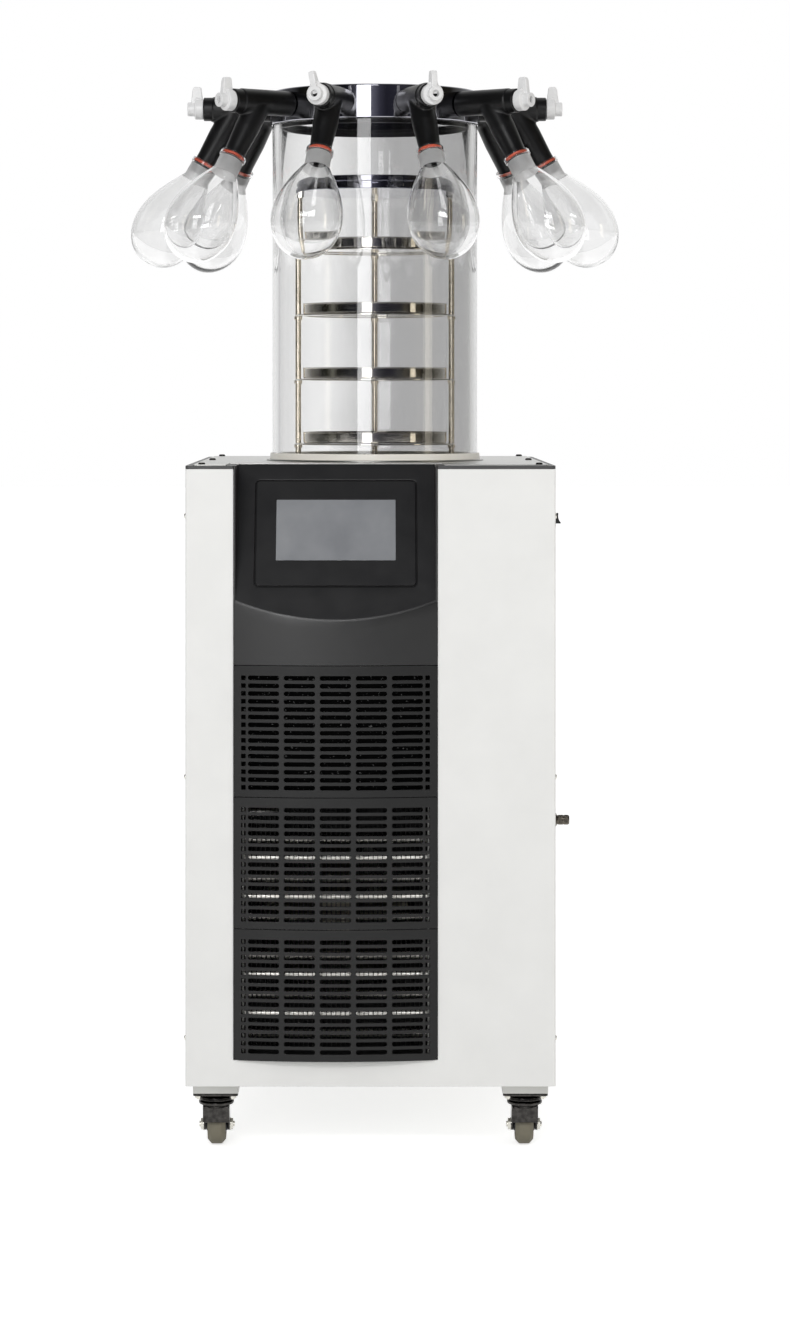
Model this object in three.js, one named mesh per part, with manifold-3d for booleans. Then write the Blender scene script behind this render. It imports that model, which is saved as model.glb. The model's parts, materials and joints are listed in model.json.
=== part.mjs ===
// Laboratory freeze dryer: a cabinet on four castors, with a clear vacuum chamber
// and an eight port manifold on its deck.
// Millimetres, +Z up, the front faces -Y. The origin is the middle of the floor area under the whole object.
import * as THREE from 'three';
import { mergeVertices } from 'three/addons/utils/BufferGeometryUtils.js';
import Module from 'manifold-3d';

const wasm = await Module();
wasm.setup();

// ---------------------------------------------------------------- driving dimensions
const gap = 0.3; // between pieces that touch

// Cabinet
const cabinetWidth = 472;
const cabinetDepth = 620;
const panelHeight = 786.5; // bottom edge of the panels to the underside of the deck
const sheet = 1.5; // sheet metal of the panels
const panelReturn = 20; // folded edge of the front and rear panels
const sideLip = 12; // inward lip of a side panel
const trayFloor = 2;
const trayLip = 25;
const deckThickness = 4;
const deckSheet = 1.2; // brushed sheet laid on the deck board
const deckSheetInset = 9;

// Castors
const wheelDiameter = 50;
const wheelWidth = 18;
const wheelSides = 24;
const hubLength = 27.4;
const hubRadius = 9;
const axleRadius = 4;
const forkWall = 3;
const nutWidth = 13;
const boltLength = 46;
const castorTrail = 18;
const raceRadius = 23;
const raceStack = 20; // top of the wheel to the mounting pad
const kingpinRadius = 5;
const padSide = 58;
const padHeight = 19.5;
const castorInsetX = 37; // cabinet side to the swivel axis
const castorInsetY = 60; // cabinet front or back to the swivel axis

// Black front column: a control fascia over three grilles, on one shallow bulge
const columnX = -44.5;
const columnWidth = 260;
const columnBulge = 13;
const columnProud = 1.5; // the column's side edges stand in front of the panel by this
const columnWall = 3;
const columnSideWall = 2.5;
const columnSideDepth = 12;
const columnFoot = 34; // white strip under the column
const seam = 0.9; // open joint between two column mouldings
const fasciaHeight = 253.4;
const chinHeight = 55.1; // bulged part of the fascia below the leaning face
const faceLean = 27; // degrees that the screen face leans back
const grilleCount = 3;
const slotWidth = 39.6;
const slotHeight = 5.8;
const slotPitchX = 45.8;
const slotPitchZ = 9.96;
const slotColumns = 5;
const slotTopMargin = 15.4; // top edge of a grille to the middle of its first row
const slotBottomMargin = 10;
const cornerCut = 6; // at the foot of the lowest grille

// Touch display in the leaning face
const displayWidth = 204;
const displayHeight = 147;
const displayPlate = 6;
const displayProud = 1;
const displayBodyInset = 6;
const displayBodyDepth = 28;
const displayGroove = 2.3;
const displayTopMargin = 25; // along the slope, from the deck to the display
const displayLedge = 2.5;
const screenWidth = 154;
const screenHeight = 86;
const screenThickness = 1.4;
const screenRecess = 0.8;
const screenRise = 4.8; // the screen's middle lies this far above the display's middle

// Fittings on the right side
const fittingInsetY = 50; // behind the front
const switchHeight = 810;
const switchFlange = [22, 20]; // depth and height
const switchBody = [18, 17];
const switchPocket = [14, 15];
const switchFlangeThickness = 2;
const switchDepth = 22;
const rockerTilt = 15; // degrees, pressed in at the top
const nozzleHeight = 423;
const nozzleRadius = 6.3;
const nozzleFlangeRadius = 9;
const nozzleReach = 20;
const nozzleTail = 3.2; // radius of the tail inside the drain pipe

// Fittings on the back
const inletHeight = 190;
const inletX = -150;
const inletBody = [26, 22]; // width and height
const inletFlange = [50, 28];
const inletDepth = 24;
const ventColumns = 2;
const ventRows = 8;
const ventSize = [110, 8];
const ventPitch = [150, 20];
const ventHeight = 300;

// Refrigeration inside the cabinet
const condenserWidth = 236;
const condenserThickness = 44;
const condenserInset = 32; // behind the front panel
const condenserPlate = 2;
const shroudDepth = 35;
const fanRadius = 98;
const fanTipGap = 4;
const fanHubRadius = 32;
const fanHubLength = 24;
const fanShaftRadius = 4;
const fanBladeCount = 5;
const fanBladeChord = 46;
const fanBladePitch = 35;
const motorRadius = 38;
const motorLength = 44;
const compressorX = 96;
const compressorY = 150;
const compressorRadius = 78;
const compressorHeight = 200;

// Cold trap and chamber
const chamberX = 6;
const chamberDiameter = 280;
const chamberWall = 10;
const chamberHeight = 454.4;
const trapRadius = 100; // inside the well
const trapWall = 1.5;
const trapDepth = 240;
const trapFlangeOverhang = 8; // beyond the chamber wall
const trapRingHeight = 6.5; // ring that centres the chamber
const vacuumPipeRadius = 14;
const vacuumPipeDrop = 80; // below the deck
const vacuumFlangeRadius = 20;
const vacuumReach = 30; // behind the rear panel
const drainPipeRadius = 6;
const drainPipeWall = 2;
const drainStraight = 36; // right side of the cabinet to the start of the pipe's straight end
const drainPipeEnd = 15.5;

// Drying rack
const rodRadius = 4;
const rodCircle = 105;
const trayRadius = 99;
const trayHeight = 15;
const trayWall = 1.2;
const trayCount = 4;
const shelfRingWidth = 12;
const shelfRingThickness = 2;
const rackPlateRadius = 113.5;
const rackPlateThickness = 18;
const rackHeadroom = 74; // rack to the manifold
const firstTrayTop = 37; // above the trap's flange
const topTraySpace = 64; // top tray to the rack's plate

// Manifold
const lidHeight = 45;
const lidWall = 3;
const lidOverhang = 2;
const lidFloor = 6;
const lidTop = 4;
const lidOpening = 70;
const lidLip = 6;
const portCount = 8;
const portPitch = 36; // degrees
const portHeight = 22.7; // arm axis above the underside of the lid
const stubRadius = 10;
const stubBore = 7;
const stubLength = 22;

// Valves: distances are from the lid's wall outwards
const armRadius = 17;
const armEndRadius = 16;
const armLength = 92;
const armStep = 78;
const outletAt = 48;
const outletTilt = 30; // degrees from straight down
const outletRadius = 16.5;
const spigotRadius = 14.2;
const outletLength = 83; // arm axis to the flask's rim
const spigotLength = 20; // inside the flask's neck
const outletBore = 8;
const outletBoreStart = 8; // the closed valve ends the bore this far from the arm's axis
const stemRadius = 8;
const stemLength = 20;
const knobRadius = 14;
const knobThickness = 11.5;
const knobNoseRadius = 9.5;
const knobLength = 21.7;
const knobBore = 4.5;
const leverThickness = 8;
const leverWidth = 14;
const leverHeight = 30.5;
const leverLean = { 4: 14 }; // degrees, valves whose lever doesn't stand straight up

// Flasks: lengths run from the rim down the flask's own axis
const flaskWall = 2;
const flaskSides = 10;
const neckLength = 26;
const collarHeight = 6;
const collarProud = 1.6;
const bodyRadius = 48;
const bodyMiddle = 107;
const flaskLength = 164;

// ---------------------------------------------------------------- derived places
const wheelRadius = wheelDiameter / 2;
const castorHeight = wheelDiameter + raceStack;
const cabinetBottom = castorHeight + padHeight;
const panelTop = cabinetBottom + panelHeight;
const deckBottom = panelTop + gap;
const deckBoardTop = deckBottom + deckThickness;
const deckTop = deckBoardTop + deckSheet;
const halfWidth = cabinetWidth / 2;
const halfDepth = cabinetDepth / 2;
const frontY = -halfDepth;
const columnHalf = columnWidth / 2;
const columnBottom = cabinetBottom + columnFoot;
const fasciaTop = deckBoardTop;
const fasciaBottom = fasciaTop - fasciaHeight;
const grilleHeight = (fasciaBottom - columnBottom) / grilleCount - seam;
const slotRows = Math.floor((grilleHeight - slotTopMargin - slotBottomMargin) / slotPitchZ) + 1;
const columnInner = columnHalf - columnSideWall;
const lean = THREE.MathUtils.degToRad(faceLean);
const faceFoot = { y: -columnProud - columnBulge, z: fasciaBottom + chinHeight };
const faceYAt = (z) => faceFoot.y + (z - faceFoot.z) * Math.tan(lean);
const faceThrough = columnWall / Math.cos(lean);
const faceLength = (fasciaTop - faceFoot.z) / Math.cos(lean);
const displayMiddle = faceLength - displayTopMargin - displayHeight / 2;
const chamberRadius = chamberDiameter / 2;
const flangeBottom = deckTop + gap;
const flangeTop = flangeBottom + trapWall;
const chamberBottom = flangeTop + gap;
const lidBottom = chamberBottom + chamberHeight + gap;
const lidRadius = chamberRadius + lidOverhang;
const trapBottom = flangeTop - trapDepth;
const nozzleY = frontY + fittingInsetY;

// ---------------------------------------------------------------- solid modelling
function toSolid(shape) {
  if (!shape.isBufferGeometry) return shape;
  const bare = new THREE.BufferGeometry();
  bare.setAttribute('position', shape.getAttribute('position'));
  bare.setIndex(shape.getIndex());
  const merged = mergeVertices(bare, 1e-4);
  const corners = merged.getIndex().array;
  const points = merged.getAttribute('position').array;
  const triangles = [];
  for (let i = 0; i < corners.length; i += 3) {
    const [a, b, c] = corners.subarray(i, i + 3);
    if (a !== b && b !== c && c !== a) triangles.push([a, b, c]);
  }
  const corner = (n) => new THREE.Vector3().fromArray(points, 3 * n);
  const volume = triangles.reduce((sum, [a, b, c]) => sum + corner(a).dot(corner(b).cross(corner(c))), 0);
  const outward = volume < 0 ? triangles.map(([a, b, c]) => [a, c, b]) : triangles;
  return new wasm.Manifold(
    new wasm.Mesh({ numProp: 3, vertProperties: points, triVerts: new Uint32Array(outward.flat()) }),
  );
}

function join(...shapes) {
  return shapes.map(toSolid).reduce((whole, piece) => whole.add(piece));
}

function cut(shape, ...tools) {
  return tools.map(toSolid).reduce((whole, tool) => whole.subtract(tool), toSolid(shape));
}

function common(first, second) {
  return toSolid(first).intersect(toSolid(second));
}

function toGeometry(shape) {
  const mesh = toSolid(shape).getMesh();
  const geometry = new THREE.BufferGeometry();
  geometry.setAttribute('position', new THREE.BufferAttribute(mesh.vertProperties, 3));
  geometry.setIndex(new THREE.BufferAttribute(mesh.triVerts, 1));
  geometry.computeVertexNormals();
  return geometry;
}

function block(x0, x1, y0, y1, z0, z1) {
  return new THREE.BoxGeometry(x1 - x0, y1 - y0, z1 - z0)
    .translate((x0 + x1) / 2, (y0 + y1) / 2, (z0 + z1) / 2);
}

function extruded(outline, length, holes = []) {
  const shape = new THREE.Shape(outline.map(([u, v]) => new THREE.Vector2(u, v)));
  shape.holes = holes.map((hole) => new THREE.Path(hole.map(([u, v]) => new THREE.Vector2(u, v))));
  return new THREE.ExtrudeGeometry(shape, { depth: length, bevelEnabled: false });
}

// outline in X and Y
function prism(outline, z0, z1, holes) {
  return extruded(outline, z1 - z0, holes).translate(0, 0, z0);
}

// outline in Y and Z
function prismX(outline, x0, x1) {
  const basis = new THREE.Matrix4().makeBasis(
    new THREE.Vector3(0, 1, 0),
    new THREE.Vector3(0, 0, 1),
    new THREE.Vector3(1, 0, 0),
  );
  return extruded(outline, x1 - x0).applyMatrix4(basis).translate(x0, 0, 0);
}

// outline in X and Z
function prismY(outline, y0, y1) {
  return extruded(outline, y1 - y0).rotateX(Math.PI / 2).translate(0, y1, 0);
}

// profile of [radius, height] points, turned about Z
function turned(profile, sides, start = 0) {
  const points = profile.map(([r, z]) => new THREE.Vector2(r, z));
  return new THREE.LatheGeometry(points, sides, start).rotateX(Math.PI / 2);
}

function ring(inner, outer, z0, z1, sides) {
  return turned([[inner, z0], [outer, z0], [outer, z1], [inner, z1], [inner, z0]], sides);
}

function rod(radius, z0, z1, sides) {
  return turned([[0, z0], [radius, z0], [radius, z1], [0, z1]], sides);
}

function rodAlongX(radius, x0, x1, sides) {
  return rod(radius, x0, x1, sides).rotateY(Math.PI / 2);
}

function rodAlongY(radius, y0, y1, sides) {
  return rod(radius, -y1, -y0, sides).rotateX(Math.PI / 2);
}

// Corner radius of a faceted hole whose flats clear a turning shaft
function holeRadius(shaftRadius, sides) {
  return (shaftRadius + gap) / Math.cos(Math.PI / sides);
}

function hexagonAlongX(acrossFlats, x0, x1) {
  return rodAlongX(acrossFlats / Math.sqrt(3), x0, x1, 6);
}

// ---------------------------------------------------------------- finishes
const finishes = {
  whitePaint: { color: 0xebebe9, roughness: 0.5, metalness: 0 },
  paleSteel: { color: 0xd8d8d4, roughness: 0.45, metalness: 0.2 },
  blackPlastic: { color: 0x2d2d2e, roughness: 0.42, metalness: 0 },
  screenGlass: { color: 0x85868a, roughness: 0.15, metalness: 0 },
  brushedSteel: { color: 0xb9b9b6, roughness: 0.32, metalness: 1 },
  mirrorSteel: { color: 0xd5d3cf, roughness: 0.06, metalness: 1 },
  aluminium: { color: 0xb4b2ab, roughness: 0.4, metalness: 1 },
  compressorPaint: { color: 0x1c1c1d, roughness: 0.5, metalness: 0.1 },
  darkMetal: { color: 0x3a3936, roughness: 0.3, metalness: 1 },
  wheelRubber: { color: 0x7c7767, roughness: 0.75, metalness: 0 },
  acrylic: { color: 0xe4e8ea, roughness: 0.05, metalness: 0, transparent: true, opacity: 0.3 },
  blackRubber: { color: 0x141414, roughness: 0.45, metalness: 0 },
  whitePlastic: { color: 0xe8e8e8, roughness: 0.35, metalness: 0 },
  glass: { color: 0xdfe3e2, roughness: 0.03, metalness: 0, transparent: true, opacity: 0.3 },
};

function piece(name, shape, finish) {
  const mesh = new THREE.Mesh(toGeometry(shape), new THREE.MeshStandardMaterial(finishes[finish]));
  mesh.name = name;
  return mesh;
}

function group(...children) {
  const holder = new THREE.Group();
  holder.add(...children);
  return holder;
}

// ---------------------------------------------------------------- cabinet shell
// Plan of a panel folded back at both ends; inward is +1 for the front panel and -1 for the rear one.
function foldedPlan(inward) {
  const face = -inward * halfDepth;
  const back = face + inward * panelReturn;
  const inner = face + inward * sheet;
  const side = halfWidth - sheet;
  return [
    [-halfWidth, face], [halfWidth, face], [halfWidth, back], [side, back],
    [side, inner], [-side, inner], [-side, back], [-halfWidth, back],
  ];
}

function frontPanel() {
  const half = columnHalf + gap;
  const opening = block(
    columnX - half, columnX + half, frontY - 1, frontY + sheet + 1, columnBottom - gap, panelTop + 1,
  );
  return cut(prism(foldedPlan(1), cabinetBottom, panelTop), opening);
}

function vents() {
  const slots = [];
  for (let column = 0; column < ventColumns; column += 1) {
    for (let row = 0; row < ventRows; row += 1) {
      const x = (column - (ventColumns - 1) / 2) * ventPitch[0];
      const z = ventHeight + row * ventPitch[1];
      slots.push(block(
        x - ventSize[0] / 2, x + ventSize[0] / 2, halfDepth - sheet - 1, halfDepth + 1,
        z - ventSize[1] / 2, z + ventSize[1] / 2,
      ));
    }
  }
  return slots;
}

function rearPanel() {
  const pipeHole = rodAlongY(vacuumPipeRadius + gap, halfDepth - sheet - 1, halfDepth + 1, 16)
    .translate(chamberX, 0, deckTop - vacuumPipeDrop);
  const [width, height] = inletBody.map((size) => size / 2 + gap);
  const inletHole = block(
    inletX - width, inletX + width, halfDepth - sheet - 1, halfDepth + 1,
    inletHeight - height, inletHeight + height,
  );
  return cut(prism(foldedPlan(-1), cabinetBottom, panelTop), pipeHole, inletHole, ...vents());
}

// side is +1 for the right panel and -1 for the left one
function sidePanel(side) {
  const end = halfDepth - panelReturn - gap;
  const outer = side * halfWidth;
  const inner = side * (halfWidth - sheet);
  const lip = side * (halfWidth - sideLip);
  const plan = [
    [outer, -end], [outer, end], [lip, end], [lip, end - sheet],
    [inner, end - sheet], [inner, sheet - end], [lip, sheet - end], [lip, -end],
  ];
  return toSolid(prism(plan, cabinetBottom, panelTop));
}

function rightSidePanel() {
  const [depth, height] = switchBody.map((size) => size / 2 + gap);
  const switchHole = block(
    halfWidth - sheet - 1, halfWidth + 1, nozzleY - depth, nozzleY + depth,
    switchHeight - height, switchHeight + height,
  );
  const nozzleHole = rodAlongX(nozzleRadius + gap, halfWidth - sheet - 1, halfWidth + 1, 12)
    .translate(0, nozzleY, nozzleHeight);
  return cut(sidePanel(1), switchHole, nozzleHole);
}

function castorPlaces() {
  const x = halfWidth - castorInsetX;
  const y = halfDepth - castorInsetY;
  return [
    { name: 'front_left', x: -x, y: -y },
    { name: 'front_right', x, y: -y },
    { name: 'rear_left', x: -x, y },
    { name: 'rear_right', x, y },
  ];
}

// Raised pad with the fixed upper race of a castor and the hole that its kingpin turns in
function castorPad({ x, y }) {
  const half = padSide / 2;
  const pad = block(x - half, x + half, y - half, y + half, castorHeight, cabinetBottom + trayFloor / 2);
  const race = turned([
    [0, castorHeight - 9], [raceRadius, castorHeight - 9], [raceRadius - 3, castorHeight - 5],
    [raceRadius - 5, castorHeight + 1], [0, castorHeight + 1],
  ], 12).translate(x, y, 0);
  const hole = rod(holeRadius(kingpinRadius, 8), castorHeight - 10, castorHeight + 4, 8).translate(x, y, 0);
  return cut(join(pad, race), hole);
}

function baseTray() {
  const x = halfWidth - sheet - gap;
  const y = halfDepth - sheet - gap;
  const outside = block(-x, x, -y, y, cabinetBottom, cabinetBottom + trayLip);
  const inside = block(
    -x + sheet, x - sheet, -y + sheet, y - sheet, cabinetBottom + trayFloor, cabinetBottom + trayLip + 1,
  );
  // The side panels' lips stand in the corners, so the tray's upright edges stop short of them.
  const corner = panelReturn + sheet + 2 * gap;
  const notches = [-1, 1].flatMap((side) => [-1, 1].map((end) => block(
    Math.min(side * (x - sideLip), side * (x + 1)), Math.max(side * (x - sideLip), side * (x + 1)),
    Math.min(end * (halfDepth - corner), end * (y - sheet - gap)),
    Math.max(end * (halfDepth - corner), end * (y - sheet - gap)),
    cabinetBottom - 1, cabinetBottom + trayLip + 1,
  )));
  return join(cut(outside, inside, ...notches), ...castorPlaces().map(castorPad));
}

function topDeck() {
  const notchHalf = columnHalf + gap;
  const notchBack = frontY + faceYAt(fasciaTop) + faceThrough + gap;
  const plan = (inset) => [
    [-halfWidth + inset, frontY + inset], [columnX - notchHalf - inset, frontY + inset],
    [columnX - notchHalf - inset, notchBack + inset], [columnX + notchHalf + inset, notchBack + inset],
    [columnX + notchHalf + inset, frontY + inset], [halfWidth - inset, frontY + inset],
    [halfWidth - inset, halfDepth - inset], [-halfWidth + inset, halfDepth - inset],
  ];
  const board = prism(plan(0), deckBottom, deckBoardTop);
  const brushed = prism(plan(deckSheetInset), deckBoardTop - 1, deckTop);
  const wellHole = rod(trapRadius + trapWall + gap, deckBottom - 1, deckTop + 1, 28)
    .translate(chamberX, 0, 0);
  return cut(join(board, brushed), wellHole);
}

// ---------------------------------------------------------------- black front column
// The bulge is part of a wide circle, kept flat across each column of slots.
function bulgeLine(setback) {
  const radius = (columnHalf ** 2 + columnBulge ** 2) / (2 * columnBulge);
  const knuckles = [0.5, 1.5].map((column) => column * slotPitchX);
  const outer = (slotPitchX * (slotColumns - 1) + slotWidth) / 2 + 1.5;
  const half = [...knuckles, outer, columnHalf];
  const across = [...half.map((x) => -x).reverse(), ...half];
  return across.map((x) => [
    x, setback - columnProud - (Math.sqrt(radius ** 2 - x ** 2) - (radius - columnBulge)),
  ]);
}

function bulgeSolid(setback, back, z0, z1) {
  return prism([...bulgeLine(setback), [columnHalf, back], [-columnHalf, back]], z0, z1);
}

function slotTools(height) {
  const through = (x, z, width) => block(
    x - width / 2, x + width / 2, -columnProud - columnBulge - 5, columnSideDepth - 1,
    z - slotHeight / 2, z + slotHeight / 2,
  );
  const tools = [];
  for (let row = 0; row < slotRows; row += 1) {
    const z = height - slotTopMargin - row * slotPitchZ;
    for (let column = 0; column < slotColumns; column += 1) {
      tools.push(through((column - (slotColumns - 1) / 2) * slotPitchX, z, slotWidth));
    }
  }
  return tools;
}

// A grille with its foot at z = 0 and its middle at x = 0, y = 0 on the front panel's face
function grille(isLowest) {
  const outside = bulgeSolid(0, columnSideDepth, 0, grilleHeight);
  const inside = common(
    bulgeSolid(columnWall, columnSideDepth + 1, -1, grilleHeight + 1),
    block(-columnInner, columnInner, -columnBulge - 5, columnSideDepth + 1, -1, grilleHeight + 1),
  );
  const shell = cut(outside, inside, ...slotTools(grilleHeight));
  if (!isLowest) return shell;
  const corner = (side) => prismY([
    [side * (columnHalf - cornerCut), -1], [side * (columnHalf + 1), -1],
    [side * (columnHalf + 1), cornerCut + 1], [side * columnHalf, cornerCut],
    [side * (columnHalf - cornerCut), 0],
  ], -columnBulge - 5, columnSideDepth + 1);
  return cut(shell, corner(-1), corner(1));
}

// Shape in the display's own frame: X across, Z up the slope, -Y out of the leaning face.
function ontoFace(shape) {
  return shape.rotateX(-lean).translate(0, faceFoot.y, faceFoot.z);
}

function displayBlock(width, height, depthFrom, depthTo, rise = 0) {
  return block(
    -width / 2, width / 2, depthFrom, depthTo,
    displayMiddle + rise - height / 2, displayMiddle + rise + height / 2,
  );
}

function fascia() {
  const frontLimit = faceFoot.y - 20;
  const tuckedTop = deckBottom - gap;
  const backAt = (z) => faceYAt(z) + columnSideDepth;
  const bendZ = faceFoot.z - faceFoot.y / Math.tan(lean);
  const back = [
    [columnSideDepth, fasciaBottom], [columnSideDepth, bendZ], [backAt(tuckedTop), tuckedTop],
    [faceYAt(fasciaTop) + faceThrough, tuckedTop], [faceYAt(fasciaTop) + faceThrough, fasciaTop],
  ];
  const cheekProfile = [[frontLimit, fasciaBottom], ...back, [frontLimit, fasciaTop]];
  const planeFootZ = faceFoot.z + (frontLimit - faceFoot.y) / Math.tan(lean);
  const bodyProfile = [
    [frontLimit, fasciaBottom], ...back, [faceYAt(fasciaTop), fasciaTop], [frontLimit, planeFootZ],
  ];
  const hollowTop = tuckedTop - columnWall;
  const hollowProfile = [
    [frontLimit, fasciaBottom + columnWall], [columnSideDepth + 1, fasciaBottom + columnWall],
    [columnSideDepth + 1, bendZ - 2],
    [backAt(hollowTop) + 2, hollowTop - 1], [backAt(hollowTop) + 2, hollowTop],
    [faceYAt(hollowTop) + faceThrough, hollowTop],
    [frontLimit, faceFoot.z + (frontLimit - faceFoot.y - faceThrough) / Math.tan(lean)],
  ];
  const cheeks = [-1, 1].map((side) => prismX(
    cheekProfile,
    Math.min(side * columnInner, side * columnHalf), Math.max(side * columnInner, side * columnHalf),
  ));
  const whole = join(prismX(bodyProfile, -columnHalf, columnHalf), ...cheeks);
  const outside = common(whole, bulgeSolid(0, backAt(fasciaTop) + 5, fasciaBottom - 1, fasciaTop + 1));
  const hollow = common(
    prismX(hollowProfile, -columnInner, columnInner),
    bulgeSolid(columnWall, backAt(fasciaTop) + 10, fasciaBottom - 1, fasciaTop + 1),
  );
  return cut(outside, hollow);
}

function controlFascia() {
  const floor = displayPlate - displayProud + gap;
  const pocketWidth = displayWidth + 2 * displayGroove;
  const pocketHeight = displayHeight + 2 * displayGroove;
  const rim = 2 * displayLedge;
  const frame = displayBlock(pocketWidth + rim, pocketHeight + rim, 1, floor + displayLedge);
  const pocket = displayBlock(pocketWidth, pocketHeight, -5, floor);
  const bodyHole = displayBlock(
    displayWidth - 2 * displayBodyInset + 2 * gap, displayHeight - 2 * displayBodyInset + 2 * gap,
    0, floor + displayLedge + 5,
  );
  return cut(join(fascia(), ontoFace(frame)), ontoFace(pocket), ontoFace(bodyHole));
}

// Display frame and screen, in the display's own frame
function screenBezel() {
  const plate = displayBlock(displayWidth, displayHeight, -displayProud, displayPlate - displayProud);
  const body = displayBlock(
    displayWidth - 2 * displayBodyInset, displayHeight - 2 * displayBodyInset,
    displayPlate - displayProud - 1, displayPlate - displayProud + displayBodyDepth,
  );
  const floor = screenRecess + screenThickness + gap - displayProud;
  const window = displayBlock(
    screenWidth + 2 * gap, screenHeight + 2 * gap, -displayProud - 1, floor, screenRise,
  );
  return cut(join(plate, body), window);
}

function touchScreen() {
  const front = screenRecess - displayProud;
  return displayBlock(screenWidth, screenHeight, front, front + screenThickness, screenRise);
}

// ---------------------------------------------------------------- refrigeration
const condenserBottom = columnBottom + 7;
const condenserTop = columnBottom + 2 * (grilleHeight + seam) - 5;
const fanZ = (condenserBottom + condenserTop) / 2;
const shroudY = condenserThickness + gap; // behind the condenser's front face

function condenser() {
  const half = condenserWidth / 2;
  const fins = block(-half, half, 0, condenserThickness, condenserBottom, condenserTop);
  const legs = [-1, 1].map((side) => block(
    Math.min(side * half, side * (half + condenserPlate)),
    Math.max(side * half, side * (half + condenserPlate)),
    0, condenserThickness, cabinetBottom + trayFloor + gap, condenserTop,
  ));
  return join(fins, ...legs);
}

function fanFrame() {
  const half = condenserWidth / 2;
  const opening = fanRadius + fanTipGap;
  const mouth = rodAlongY(opening, shroudY - 1, shroudY + shroudDepth + 1, 24).translate(0, 0, fanZ);
  const plateBottom = cabinetBottom + trayFloor + gap;
  const plate = block(-half, half, shroudY, shroudY + condenserPlate, plateBottom, condenserTop);
  const collar = rodAlongY(opening + condenserPlate, shroudY, shroudY + shroudDepth, 24)
    .translate(0, 0, fanZ);
  const armY = shroudY + shroudDepth;
  const arms = [45, 135].map((angle) => block(
    -opening - condenserPlate, opening + condenserPlate, armY - 1, armY + 4, -6, 6,
  ).rotateY(THREE.MathUtils.degToRad(angle)).translate(0, 0, fanZ));
  const motor = rodAlongY(motorRadius, armY - 1, armY + motorLength, 16).translate(0, 0, fanZ);
  const shaft = rodAlongY(fanShaftRadius, shroudY + 6, armY, 8).translate(0, 0, fanZ);
  return join(cut(join(plate, collar), mouth), ...arms, motor, shaft);
}

// The fan turns about Y; its middle is at the origin.
function fanBlade() {
  const hub = rodAlongY(fanHubRadius, -fanHubLength / 2, fanHubLength / 2, 20);
  const blades = Array.from({ length: fanBladeCount }, (_, n) => {
    const root = fanHubRadius - 4;
    return block(-fanBladeChord / 2, fanBladeChord / 2, -1.2, 1.2, root, fanRadius - 4)
      .rotateZ(THREE.MathUtils.degToRad(fanBladePitch))
      .rotateY((2 * Math.PI * n) / fanBladeCount);
  });
  const bore = rodAlongY(holeRadius(fanShaftRadius, 8), -fanHubLength, fanHubLength, 8);
  return cut(join(hub, ...blades), bore);
}

function compressor() {
  const r = compressorRadius;
  const h = compressorHeight;
  const pot = turned([
    [0, 16], [r - 18, 16], [r - 2, 28], [r - 2, h * 0.42], [r + 3, h * 0.42], [r + 3, h * 0.45],
    [r - 4, h * 0.45], [r - 6, h - 30], [r - 24, h - 6], [0, h],
  ], 18);
  const plate = block(-r - 14, r + 14, -r + 10, r - 10, 13, 17);
  const feet = [-1, 1].flatMap((sx) => [-1, 1].map(
    (sy) => rod(11, 0, 14, 8).translate(sx * r, sy * (r - 26), 0),
  ));
  return join(pot, plate, ...feet);
}

// ---------------------------------------------------------------- cold trap
// Drain pipe from the bottom of the well, down and forward to the nozzle on the right side
function drainRoute() {
  return new THREE.CatmullRomCurve3([
    [chamberX, 0, trapBottom + trapWall / 2],
    [chamberX, 0, trapBottom - 40],
    [chamberX + 100, -60, trapBottom - 110],
    [halfWidth - 60, nozzleY + 60, nozzleHeight + 40],
    [halfWidth - drainStraight - 6, nozzleY, nozzleHeight],
    [halfWidth - drainStraight, nozzleY, nozzleHeight],
  ].map((point) => new THREE.Vector3(...point)));
}

function drainPipe(radius, overrun) {
  const end = halfWidth - drainPipeEnd + overrun;
  const straight = rodAlongX(radius, halfWidth - drainStraight - 1, end, 8)
    .translate(0, nozzleY, nozzleHeight);
  return join(pipeAlong(drainRoute(), radius), straight);
}

function pipeAlong(route, radius) {
  const outline = new THREE.Shape(Array.from({ length: 8 }, (_, n) => new THREE.Vector2(
    radius * Math.cos((n * Math.PI) / 4), radius * Math.sin((n * Math.PI) / 4),
  )));
  return new THREE.ExtrudeGeometry(outline, { steps: 11, bevelEnabled: false, extrudePath: route });
}

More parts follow.
